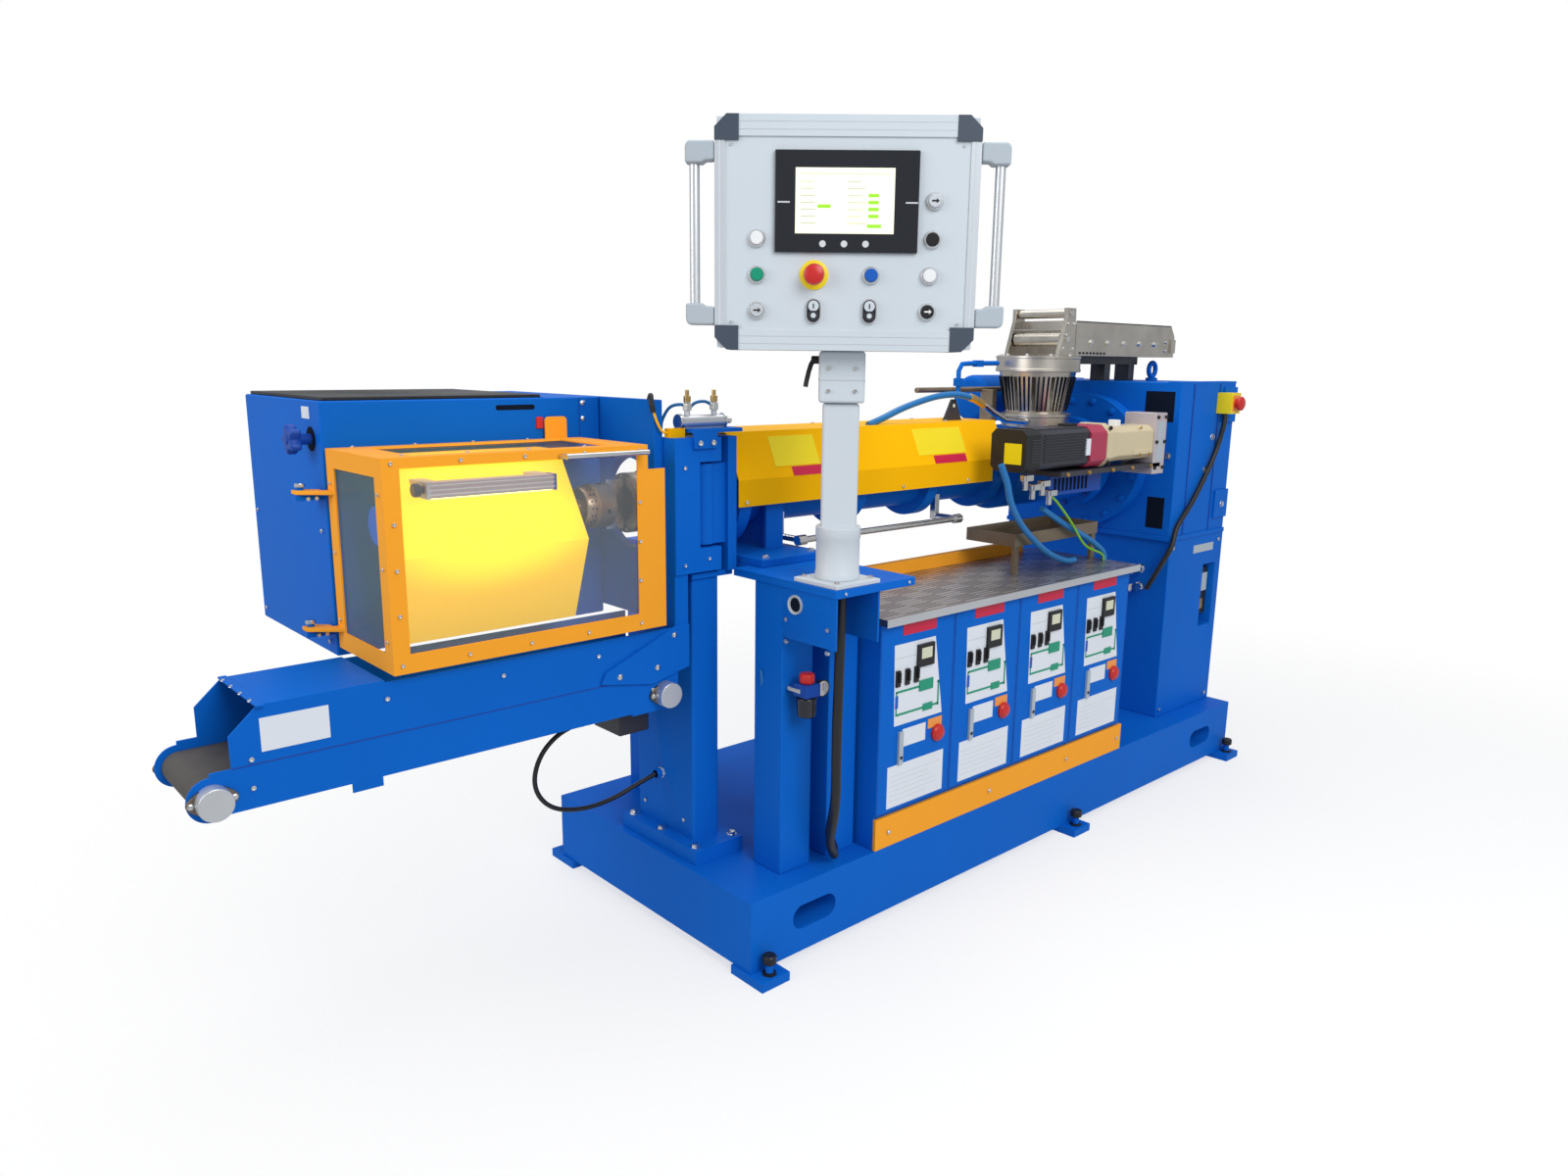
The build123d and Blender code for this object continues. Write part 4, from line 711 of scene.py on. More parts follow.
@dataclass
class CadForms:
    """CAD nodes that are shown as they are, or as copies with softened edges."""

    kept: dict = field(default_factory=lambda: {
        "deck_plate": TREAD, "guard_windows": ACRYLIC, "conveyor_belt": RUBBER, "feed_neck": STEEL,
    })
    rounded: dict = field(default_factory=lambda: {
        (Body.MACHINE, BLUE, "blue_paint"): {"skid_frame": 3.0, "levelling_feet": 1.0,
            "cutter_column": 2.0, "hinge_fixed": 1.5, "stand": 2.0, "head_support": 2.0, "barrel": 2.0,
            "feed_block": 3.0, "gearbox_plinth": 3.0, "gearbox_case": 5.0, "cabinets": 2.0,
            "stand_posts": 3.0, "rear_drive": 2.0},
        (Body.HEAD, BLUE, "blue_paint"): {"hinge_leaf": 1.5, "lock_bracket": 1.5, "cutter_spindle": 1.5,
            "head_plate": 2.0, "cutter_housing": 4.0, "door_hinge_lugs": 1.0, "conveyor_frame": 0.6},
        (Body.MACHINE, YELLOW, "yellow_paint"): {"barrel_hood": 0.6},
        (Body.MACHINE, AMBER, "yellow_paint"): {"kick_strip": 1.0, "deck_rail": 1.5},
        (Body.MACHINE, KHAKI, "steel"): {"drip_pan": 0.6},
        (Body.MACHINE, STEEL, "steel"): {"feed_ring": 2.0, "roller_box": 1.0, "feed_chute": 0.5},
        (Body.MACHINE, BLACK_PAINT, "black_plastic"): {"chute_support": 1.0, "servo_bracket": 1.5},
        (Body.MACHINE, BRONZED, "steel"): {"tie_rods": 2.0, "die_ring": 1.0},
        (Body.MACHINE, BRIGHT, "steel"): {"water_pipes": 1.0},
        (Body.HEAD, ALUMINIUM, "aluminium"): {"lock_cylinder": 1.5, "conveyor_rollers": 2.0},
        (Body.TOP_ROLLER, STEEL, "steel"): {"top_roller": 1.0},
        (Body.GUIDE_ROLLER, STEEL, "steel"): {"guide_roller": 1.0},
        (Body.HEAD, BLACK, "black_plastic"): {"housing_cover": 2.0},
        (Body.HEAD, LIT_SHEET, "yellow_paint"): {"deflector": 0.4},
        (Body.HEAD, LAMP_BODY, "aluminium"): {"lamp_bar": 2.0},
        (Body.HEAD, BLACK_PAINT, "black_plastic"): {"conveyor_motor": 3.0},
        (Body.DOOR, AMBER, "yellow_paint"): {"guard_frame": 0.8},
        (Body.DOOR, BRIGHT, "steel"): {"guard_handle": 1.0},
    })

    def build(self) -> None:
        """Dresses every CAD node in its two tables."""
        for node, finish in self.kept.items():
            dressed_node(node, finish)
        for (body, finish, slot), nodes in self.rounded.items():
            for node, bevel in nodes.items():
                rounded_copy(node, body, finish, bevel)


@dataclass
class OperatorPanel:
    """Operator panel on its post, in its own frame: X to the right, Z up, front at -Y."""

    post: tuple = (-997.0, -481.0)
    turn: float = -43.5
    front: float = -98.0
    depth: float = 150.0
    half_width: float = 282.0
    bottom: float = 1520.0
    top: float = 2004.0
    band: float = 44.0
    side_band: float = 22.0
    cut: float = 26.0
    screen_low: tuple = (-153.0, 1725.0)
    screen_high: tuple = (153.0, 1933.0)

    def frame(self) -> Matrix:
        """The panel's local frame in millimetres."""
        return Matrix.Translation((*self.post, 0)) @ Matrix.Rotation(math.radians(self.turn), 4, "Z")

    def build(self) -> None:
        """Builds the case, the display, the controls, the handles and the neck."""
        self.case()
        self.display()
        self.controls()
        self.handles()
        self.neck()

    def case(self) -> None:
        """Front plate between profiles, with a chamfered cap on each corner."""
        back = self.front + self.depth
        wide, cut = self.half_width, self.cut
        low, high = self.bottom, self.top
        body = Shape("panel_case_shell", Body.PANEL, self.frame())
        inset = 5.0
        body.box((-wide + inset, self.front + 3, low + inset), (wide - inset, back, high - inset), PALE)
        for z0, z1 in ((low, low + self.band), (high - self.band, high)):
            middle = (z0 + z1) / 2
            body.box((-wide + self.band, self.front - 1, z0), (wide - self.band, back - 4, z1), PALE)
            for z in (middle - 9, middle + 7):
                body.box((-wide + self.band, self.front - 1.6, z),
                         (wide - self.band, self.front - 0.6, z + 2), PROFILE)
        for side in (-1, 1):
            edge = sorted((side * wide, side * (wide - self.side_band)))
            body.box((edge[0], self.front, low + self.band), (edge[1], back - 4, high - self.band), PROFILE)
            groove = side * (wide - self.side_band / 2)
            body.box((groove - 2, self.front - 0.6, low + self.band),
                     (groove + 2, self.front + 1, high - self.band), PALE)
        for side in (-1, 1):
            for z0, step in ((low, 1), (high, -1)):
                reach = self.band + 8
                x0 = side * wide
                outline = [(x0 - side * cut, z0), (x0, z0 + step * cut), (x0, z0 + step * reach),
                           (x0 - side * reach, z0 + step * reach), (x0 - side * reach, z0)]
                body.prism(outline, Axis.Y, self.front - 3, back - 2, CORNER)
        body.finished(bevel=2.5, segments=3, replaces=("panel_case",))
        screws = Shape("panel_case_screws", Body.PANEL, self.frame())
        for x in (-wide + self.side_band + 14, wide - self.side_band - 14):
            for z in (low + self.band + 16, high - self.band - 16):
                screws.bolts([(x, self.front + 3, z)], Axis.Y, -1, 3.4, finish=PROFILE, socket=True)
        screws.finished()

    def display(self) -> None:
        """Dark bezel with a lit display, a few green fields and three round touch marks."""
        face = self.front - 6
        bezel = Shape("panel_display", Body.PANEL, self.frame())
        bezel.box((self.screen_low[0], face, self.screen_low[1]),
                  (self.screen_high[0], self.front + 4, self.screen_high[1]),
                  GLASS_BLACK)
        bezel.finished(bevel=2.0, replaces=("panel_screen",))
        lit = Shape("panel_display_picture", Body.PANEL, self.frame())
        lit.box((-109, face - 0.8, 1764), (101, face + 1, 1897), SCREEN)
        for x, z, wide in ((-62, 1816, 28), (46, 1838, 22), (46, 1824, 22), (46, 1810, 22), (46, 1796, 22),
                           (44, 1776, 30)):
            lit.box((x, face - 1.2, z), (x + wide, face - 0.5, z + 7), SCREEN_INK)
        for row in range(7):
            z = 1868 - row * 14
            lit.box((-98, face - 1.1, z), (-70 + (row * 37) % 18, face - 0.5, z + 2), SCREEN_LINE)
            lit.box((2, face - 1.1, z), (30 + (row * 23) % 14, face - 0.5, z + 2), SCREEN_LINE)
        lit.box((-98, face - 1.1, 1884), (90, face - 0.5, 1885.4), SCREEN_LINE)
        for x in (-153, 119):
            lit.box((x + 6, face - 0.6, 1826), (x + 32, face + 1, 1829), SCREEN_LINE_PALE)
        for x in (-50, -4, 42):
            lit.turned([(0, 7), (0.8, 7), (0.8, 5.6), (0.2, 5.6)], (x, face - 0.8, 1743), Axis.Y,
                       SCREEN_LINE_PALE, sides=24)
        lit.finished()

    def controls(self) -> None:
        """Push buttons, selector switches, a key switch, double buttons and the stop button."""
        front = self.front + 3
        push = Shape("panel_push_buttons", Body.PANEL, self.frame())
        for x, z, cap in ((-191, 1754, WHITE), (-190, 1679, GREEN), (56, 1679, BUTTON_BLUE),
                          (187, 1832, PROFILE),
                          (185, 1754, BLACK), (181, 1679, WHITE), (-190, 1604, PROFILE), (179, 1604, BLACK)):
            ring = [(0, 19), (-5, 19), (-8, 16.5), (-8, 14.5), (-5, 14)]
            push.turned(ring, (x, front, z), Axis.Y, ALUMINIUM, sides=36)
            push.turned([(-3, 14), (-11, 14), (-13, 12)], (x, front, z), Axis.Y, cap, sides=36)
        for x, z, mark in ((-190, 1604, BLACK), (187, 1832, BLACK), (179, 1604, WHITE)):
            push.box((x - 7, front - 14, z - 1.6), (x + 4, front - 12.6, z + 1.6), mark)
            push.prism([(x + 3, z - 5), (x + 9, z), (x + 3, z + 5)], Axis.Y, front - 14, front - 12.6, mark)
        for x in (-67, 54):
            outer = stadium(x, 1604, 17, 27)
            push.prism(outer, Axis.Y, front - 5, front, ALUMINIUM)
            push.prism(stadium(x, 1604, 14, 24), Axis.Y, front - 8, front - 4, BLACK)
            for z, mark in ((1614, PALE), (1594, BLACK_PAINT)):
                push.turned([(-8, 11.5), (-11, 11.5), (-12, 10.5)], (x, front, z), Axis.Y, mark, sides=32)
            push.box((x - 1.2, front - 12.8, 1609), (x + 1.2, front - 11.8, 1619), BLACK)
            push.turned([(-12.6, 5.5), (-12.9, 5.5), (-12.9, 3.8), (-12.2, 3.8)], (x, front, 1594), Axis.Y,
                        PALE, sides=24)
        push.finished(bevel=0.5, replaces=("panel_buttons",))
        stop = Shape("panel_stop_button", Body.PANEL, self.frame())
        centre = (-67, front, 1679)
        stop.turned([(0, 31), (-3, 31), (-4, 29)], centre, Axis.Y, SIGNAL, sides=48)
        stop.turned([(-3, 17), (-14, 17), (-18, 21), (-25, 22.5), (-32, 20), (-35, 14), (-36, 5)], centre,
                    Axis.Y, RED,
                    sides=48)
        stop.finished()

    def handles(self) -> None:
        """Round bars held by moulded brackets at both sides."""
        frame = self.frame()
        grips = Shape("panel_grips", Body.PANEL, frame)
        for side in (-1, 1):
            x = side * (self.half_width + 44)
            grips.turned([(1605, 11), (1925, 11)], (x, self.front + 20, 0), Axis.Z, ALUMINIUM, sides=28)
            for z, step in ((1572, 1), (1952, -1)):
                points = [(side * (self.half_width + 1), z), (x + side * 12, z),
                          (x + side * 19, z + step * 8),
                          (x + side * 19, z + step * 46), (x - side * 17, z + step * 46),
                          (x - side * 25, z + step * 40), (side * (self.half_width + 1), z + step * 40)]
                grips.prism(points, Axis.Y, self.front + 0.5, self.front + 40, BRACKET_GREY)
        grips.finished(bevel=6.0, segments=4, replaces=("panel_handles",))

    def neck(self) -> None:
        """Square neck with a lower collar, its screws and a clamp lever."""
        frame = self.frame()
        neck = Shape("panel_neck_block", Body.PANEL, frame)
        neck.box((-52, -46, 1405), (52, 46, 1519.5), PALE)
        neck.finished(bevel=7.0, segments=4, replaces=("panel_neck",))
        lever = Shape("panel_clamp_lever", Body.PANEL, frame)
        lever.turned([(0, 9), (-16, 9), (-18, 7)], (-52, 0, 1500), Axis.X, BLACK, sides=20)
        lever.tube([(-64, 0, 1500), (-70, -4, 1490), (-75, -8, 1474), (-80, -12, 1452), (-82, -14, 1440)],
                   5.5, BLACK)
        lever.finished()
        seams = Shape("panel_neck_seams", Body.PANEL, frame)
        seams.box((-53, -47, 1455), (53, 47, 1457), PROFILE)
        seams.bolts([(-30, -46, 1432), (30, -46, 1432), (-30, -46, 1482), (30, -46, 1482)], Axis.Y, -1, 4.5,
                    socket=True)
        seams.finished()
        post = Shape("panel_post_tube", Body.MACHINE, frame)
        post.box((-42, -33.5, 1100), (42, 33.5, 1404), PALE)
        post.finished(bevel=8.0, segments=4)
        foot = Shape("panel_post_foot", Body.MACHINE, Matrix.Translation((*self.post, 0)))
        foot.box((-73, -73, 984.1), (73, 73, 995), PALE)
        foot.turned([(995, 53), (1010, 53), (1012, 51.5), (1090, 51.5), (1092, 53), (1118, 53), (1121, 50)],
                    (0, 0, 0),
                    Axis.Z, PALE, sides=48)
        foot.finished(bevel=2.5, segments=3, replaces=("panel_post",))
        bolts = Shape("panel_post_bolts", Body.MACHINE, Matrix.Translation((*self.post, 0)))
        bolts.bolts([(x, y, 995) for x in (-56, 56) for y in (-56, 56)], Axis.Z, 1, 6.5, socket=True)
        bolts.finished()


def flowing(points: Sequence[Point], steps: int = 8) -> np.ndarray:
    """Smooth path through points: each span is a cubic that keeps the neighbours' mean direction.

    Args:
        points: The points.
        steps: Points on each span.

    Returns:
        The path's points.
    """
    line = np.asarray(points, dtype=float)
    padded = np.concatenate([2 * line[:1] - line[1:2], line, 2 * line[-1:] - line[-2:-1]])
    share = np.linspace(0, 1, steps, endpoint=False)[:, None]
    spans = []
    for before, start, end, after in zip(padded, padded[1:], padded[2:], padded[3:]):
        square = 2 * before - 5 * start + 4 * end - after
        cube = 3 * start - before - 3 * end + after
        spans.append(0.5 * (2 * start + (end - before) * share + square * share ** 2 + cube * share ** 3))
    return np.concatenate(spans + [line[-1:]])


def ring_of(count: int, radius: float, first: float = 0.0) -> list:
    """Pairs of coordinates spaced evenly on a circle; first is an angle in degrees."""
    angles = np.radians(first + np.arange(count) * 360 / count)
    return np.stack([radius * np.cos(angles), radius * np.sin(angles)], axis=1).tolist()


def screw_set(name: str, body: Body, rows: Sequence[tuple],
              frame: Optional[Matrix] = None) -> None:
    """Makes one piece of bolt and screw heads.

    Args:
        name: The piece's name.
        body: The body it rides on.
        rows: For each row its places, axis, side, size, finish (or None) and whether it has socket heads.
        frame: Local frame of the places.
    """
    heads = Shape(name, body, frame)
    for places, axis, side, size, finish, socket in rows:
        heads.bolts(places, axis, side, size, finish, socket)
    heads.finished()


def hose_set(name: str, body: Body, runs: Sequence[tuple]) -> None:
    """Makes one piece of smooth hoses.

    Args:
        name: The piece's name.
        body: The body it rides on.
        runs: For each hose its points, radius and finish.
    """
    hoses = Shape(name, body)
    for points, radius, finish in runs:
        hoses.tube(flowing(points), radius, finish)
    hoses.finished()


@dataclass
class GuardTrim:
    """Screws, catch tab and hinge pins of the guard door."""

    front: float = -175.0
    top: float = 1292.0
    bottom: float = 882.0
    left: float = -1933.0
    right: float = -1348.0
    hinge: tuple = (-2000.0, 150.0)

    def build(self) -> None:
        """Builds the screws, the tab with its rounded top, and the pin heads."""
        columns = np.linspace(self.left, self.right, 5)
        row = [(x, self.front, z) for z in (self.top, self.bottom) for x in columns]
        row += [(x, self.front, z) for x in (self.left, self.right) for z in (985, 1078, 1171)]
        side = [(-1951, y, z) for y in (-155, 102) for z in (930, 1080, 1230)]
        over = [(x, y, 1303) for y in (-155, 102) for x in (-1900, -1760, -1620, -1480)]
        screw_set("guard_screws", Body.DOOR, [
            (places, axis, way, 4.2, None, True)
            for places, axis, way in ((row, Axis.Y, -1), (side, Axis.X, -1), (over, Axis.Z, 1))])
        tab = Shape("guard_catch_tab", Body.DOOR)
        turn = np.linspace(0, np.pi, 9)
        outline = [(-1360, 1299)]
        outline += [(-1370 + 10 * math.cos(t), 1346 + 10 * math.sin(t)) for t in turn[:5]]
        outline += [(-1411 + 10 * math.cos(t), 1346 + 10 * math.sin(t)) for t in turn[4:]]
        outline += [(-1421, 1299)]
        tab.prism(outline, Axis.Y, 117.5, 121.8, AMBER)
        tab.finished(bevel=0.6)
        pins = Shape("guard_hinge_pins", Body.HEAD)
        for z in (920, 1221):
            pins.turned([(z, 11), (z + 6, 11), (z + 8, 9)], (*self.hinge, 0), Axis.Z, BRIGHT, sides=24)
        pins.finished()


@dataclass
class CutterTrim:
    """Knob, plates, lamp, hub, catch and sensor of the cutter head."""

    side: float = -1955.0
    front: float = 128.0
    knob: tuple = (190.0, 1319.0)
    axis_z: float = 1145.0

    def build(self) -> None:
        """Builds every small form of the cutter head."""
        self.knob_wheel()
        self.housing()
        self.lamp()
        self.hub()
        self.sensor()

    def knob_wheel(self) -> None:
        """Five-lobed knob on a shaft: the radius swells and shrinks five times round the rim."""
        wheel = Shape("knob_wheel", Body.HEAD)
        angle = np.linspace(0, 2 * np.pi, 60, endpoint=False)
        rim = 28 + 6 * np.cos(5 * angle)
        rows = []
        for x, share in ((-2007, 0.86), (-2003, 1.0), (-1987, 1.0), (-1983, 0.88)):
            rows.append(np.stack([np.full(60, float(x)), self.knob[0] + share * rim * np.cos(angle),
                                  self.knob[1] + share * rim * np.sin(angle)], axis=1))
        wheel.grid(np.stack(rows), DEEP_BLUE)
        wheel.turned([(-2010, 9), (-2006, 12), (-1983, 15), (-1975, 12), (-1955, 12)], (0, *self.knob),
                     Axis.X, DEEP_BLUE)
        wheel.finished(bevel=1.5, replaces=("star_knob",))
        # Painted shade: a near-black ring on the housing's face round the knob's shaft.
        hole = Shape("knob_hole", Body.HEAD)
        hole.turned([(-1955.6, 12), (-1955.6, 27), (-1954, 27)], (0, *self.knob), Axis.X, PAINTED_RECESS_SHADE, sides=36)
        hole.box((-1955.8, 190, 1362), (-1954.5, 236, 1388), PLATE_WHITE)
        hole.finished()

    def housing(self) -> None:
        """Slot, seams, bolts and the folded cover's edge on the housing."""
        trim = Shape("housing_trim", Body.HEAD)
        turn = np.linspace(0, np.pi, 9)
        slot = [(-1448 + 6 * math.sin(t), 1380 + 6 * math.cos(t)) for t in turn]
        slot += [(-1540 - 6 * math.sin(t), 1380 - 6 * math.cos(t)) for t in turn]
        # Painted shade: the slot is a near-black sheet on the face.
        trim.prism(slot, Axis.Y, self.front - 0.5, self.front + 1, PAINTED_RECESS_SHADE)
        trim.box((-1319, self.front - 0.6, 1304), (-1316.5, self.front + 1, 1401), DEEP_BLUE)
        trim.box((-1258.5, self.front - 3, 1304), (-1257.5, self.front + 1, 1401), DEEP_BLUE)
        trim.box((-1420, 134, 1401.6), (-1414, 628, 1403.4), DEEP_BLUE)
        trim.finished()
        bolts = Shape("housing_bolts", Body.HEAD)
        bolts.bolts([(-1306, self.front, 1349), (-1306, self.front, 1388)], Axis.Y, -1, 6)
        bolts.bolts([(-1955, y, z) for y in (160, 600) for z in (870, 1120)], Axis.X, -1, 5, socket=True)
        for z in (897, 1198):
            bolts.bolts([(-1972, 136, z - 2), (-1990, 136, z - 2)], Axis.Y, -1, 4.5, socket=True)
        bolts.finished()
        catch = Shape("guard_switch", Body.HEAD)
        catch.box((-1441, 122.4, 1328), (-1423, 130, 1356), RED)
        catch.finished(bevel=1.5)
        screw_set("hinge_bolts", Body.HEAD, (
            ([(-1166, -170, 1299), (-1126, -170, 1299)], Axis.Y, -1, 7, None, True),
            ([(-1130, -160, 1010), (-1205, -160, 1240), (-1205, -160, 1000)], Axis.Y, -1, 5, None, True)))

    def lamp(self) -> None:
        """Ribs, end caps and lens of the lamp, and the knob that holds its left end."""
        trim = Shape("lamp_trim", Body.HEAD)
        for z in (1212, 1222, 1232):
            trim.box((-1822, -98, z), (-1524, -95.8, z + 3), PROFILE)
        trim.box((-1826.5, -97.5, 1204.5), (-1818, -60, 1241), BRACKET_GREY)
        trim.box((-1526, -97.5, 1204.5), (-1518.5, -60, 1241), DEEP_BLUE)
        trim.turned([(-1850, 13), (-1846, 15), (-1836, 15), (-1834, 8), (-1826, 8)], (0, -79, 1224), Axis.X,
                    BLACK, sides=20)
        trim.finished(bevel=0.8)
        lens = Shape("lamp_lens", Body.HEAD)
        lens.box((-1815, -92, 1203.4), (-1530, -66, 1206.5), LAMP_GLOW)
        lens.finished()

    def hub(self) -> None:
        """Turned hub of the cutter with drilled holes, and the grooved die ring behind it."""
        hub = Shape("rotor_hub", Body.ROTOR)
        profile = [(-1439.7, 20), (-1410, 20), (-1408, 46), (-1402, 50), (-1378, 50), (-1376, 55),
                   (-1330, 55), (-1328, 52),
                   (-1326, 20)]
        hub.turned(profile, (0, 0, self.axis_z), Axis.X, BRONZED, sides=72)
        hub.box((-1329, -6, self.axis_z - 62), (-1280, 6, self.axis_z + 62), BRIGHT)
        # Painted shade: the drilled holes are near-black squares on the hub.
        for y, z in ring_of(18, 50.2):
            hub.box((-1398, y - 1.8, self.axis_z + z - 1.8), (-1394, y + 1.8, self.axis_z + z + 1.8), PAINTED_RECESS_SHADE)
            hub.box((-1388, y - 1.8, self.axis_z + z - 1.8), (-1384, y + 1.8, self.axis_z + z + 1.8), PAINTED_RECESS_SHADE)
        for y, z in ring_of(4, 51, 190):
            hub.box((-1358, y - 5, self.axis_z + z - 5), (-1348, y + 5, self.axis_z + z + 5), PAINTED_RECESS_SHADE)
        hub.finished(bevel=0.6, replaces=("cutter_rotor",))
        die = Shape("die_face", Body.MACHINE)
        for radius in (24, 44, 60):
            die.turned([(-1274.5, radius), (-1274.5, radius + 1.4), (-1273, radius + 1.4)],
                       (0, 0, self.axis_z), Axis.X, DULL,
                       sides=64)
        die.bolts([(-1274, y, self.axis_z + z) for y, z in ring_of(6, 67, 20)], Axis.X, -1, 3.2, socket=True)
        die.finished()

    def sensor(self) -> None:
        """Yellow sensor on the hinge leaf with its short cable and the air cylinder's fittings."""
        unit = Shape("head_sensor", Body.HEAD)
        unit.box((-1228, -136, 1312), (-1184, -112, 1334), YELLOW)
        unit.tube(flowing([(-1228, -124, 1323), (-1242, -122, 1328), (-1254, -118, 1350),
                           (-1260, -112, 1376)]), 3, YELLOW)
        unit.tube(flowing([(-1260, -112, 1372), (-1263, -108, 1396), (-1256, -96, 1412), (-1249, -80, 1400),
                           (-1247, -72, 1380)]), 6.5, BLACK)
        unit.finished(bevel=1.2)
        air = Shape("lock_fittings", Body.HEAD)
        for x in (-1169, -1086):
            air.turned([(1376, 12), (1392, 12), (1394, 9)], (x, -125, 0), Axis.Z, BRIGHT, sides=6,
                       smooth=False)
            air.turned([(1396, 9), (1410, 9), (1412, 5), (1424, 5), (1426, 3)], (x, -125, 0), Axis.Z, BRASS,
                       sides=16)
        air.turned([(-1062, 19), (-1056, 19), (-1054, 8), (-1034, 8)], (0, -125, 1349), Axis.X, BRIGHT,
                   sides=28)
        air.turned([(-1199, 19), (-1189, 19)], (0, -125, 1349), Axis.X, BRIGHT, sides=28)
        air.finished(bevel=0.8)
        left = [(-1169, -125, 1384), (-1180, -112, 1390), (-1196, -90, 1382), (-1206, -72, 1350),
                (-1206, -66, 1316)]
        right = [(-1086, -125, 1384), (-1104, -110, 1396), (-1130, -96, 1388), (-1150, -86, 1350),
                 (-1154, -82, 1316)]
        hose_set("lock_hoses", Body.HEAD, ((left, 4, HOSE_BLUE), (right, 4, HOSE_BLUE)))


@dataclass
class ConveyorTrim:
    """Bearings, bolts, seams and the plain plate of the take-away conveyor."""

    front: float = -150.0
    back: float = 85.0
    ends: tuple = (-2300.0, -1266.0)
    axle_z: float = 684.0

    def build(self) -> None:
        """Builds the bearings, the bolts and the plate, and the cable below the conveyor."""
        bearings = Shape("conveyor_bearings", Body.HEAD)
        metal = Shape("conveyor_caps", Body.HEAD)
        for x in self.ends:
            for face, side in ((self.front, -1), (self.back, 1)):
                turn = np.linspace(0, 2 * np.pi, 40, endpoint=False)
                outline = [(x + 34 * math.cos(t) * (1 + 0.35 * math.cos(t) ** 4),
                            self.axle_z + 30 * math.sin(t)) for t in turn]
                bearings.prism(outline, Axis.Y, *sorted((face + side * 0.5, face + side * 8)), DULL)
                profile = [(side * 8, 30), (side * 26, 30), (side * 31, 27), (side * 33, 22),
                           (side * 33.5, 6), (side * 32, 5)]
                metal.turned(profile, (x, face, self.axle_z), Axis.Y, BRIGHT, sides=48)
                metal.bolts([(x - 38, face + side * 8, self.axle_z), (x + 38, face + side * 8, self.axle_z)],
                            Axis.Y, side, 5)
        bearings.finished(bevel=1.5)
        metal.bolts([(-2226, self.front, 747), (-2227, self.front, 690), (-1455, self.front, 812),
                     (-1302, self.front, 700),
                     (-1700, self.front, 812), (-1960, self.front, 812)], Axis.Y, -1, 5, socket=True)
        metal.bolts([(-1238, -158, 830), (-1290, -158, 756), (-1400, -158, 752)], Axis.Y, -1, 6)
        metal.bolts([(-2210, y, 851) for y in (-120, -60, 0, 55)], Axis.Z, 1, 4.5)
        metal.finished()
        edge = Shape("conveyor_edges", Body.HEAD)
        edge.box((-2262, self.front - 0.8, 734), (-1225, self.front + 0.5, 737), DEEP_BLUE)
        edge.box((-2212, self.front - 12, 849), (-2196, self.back + 2, 853), BLUE)
        edge.finished(bevel=0.6)
        plate = Shape("conveyor_plain_plate", Body.HEAD)
        plate.box((-2206, self.front - 1.0, 757), (-2077, self.front + 0.3, 824), PLATE_WHITE)
        plate.finished()
        self.cable()

    def cable(self) -> None:
        """The free cable from the conveyor's motor to the gland on the column."""
        points = [(-1340.3, 600), (-1440, 604), (-1528, 556), (-1560, 470), (-1516, 396), (-1426, 366),
                  (-1330, 368),
                  (-1244, 392), (-1191.5, 404)]
        curve = bpy.data.curves.new("conveyor_lead", "CURVE")
        curve.dimensions = "3D"
        curve.bevel_depth = 6 * MM
        curve.bevel_resolution = 5
        curve.resolution_u = 12
        curve.use_fill_caps = True
        spline = curve.splines.new("NURBS")
        spline.points.add(len(points) - 1)
        for knot, (x, z) in zip(spline.points, points):
            knot.co = (*placed((x * MM, 0.0, z * MM)), 1.0)
        spline.order_u = 3
        spline.use_endpoint_u = True
        curve.materials.append(HOSE_BLACK.material())
        lead = bpy.data.objects.new("conveyor_lead", curve)
        bpy.context.scene.collection.objects.link(lead)
        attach(lead, Body.HEAD.value)
        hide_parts("conveyor_cable")


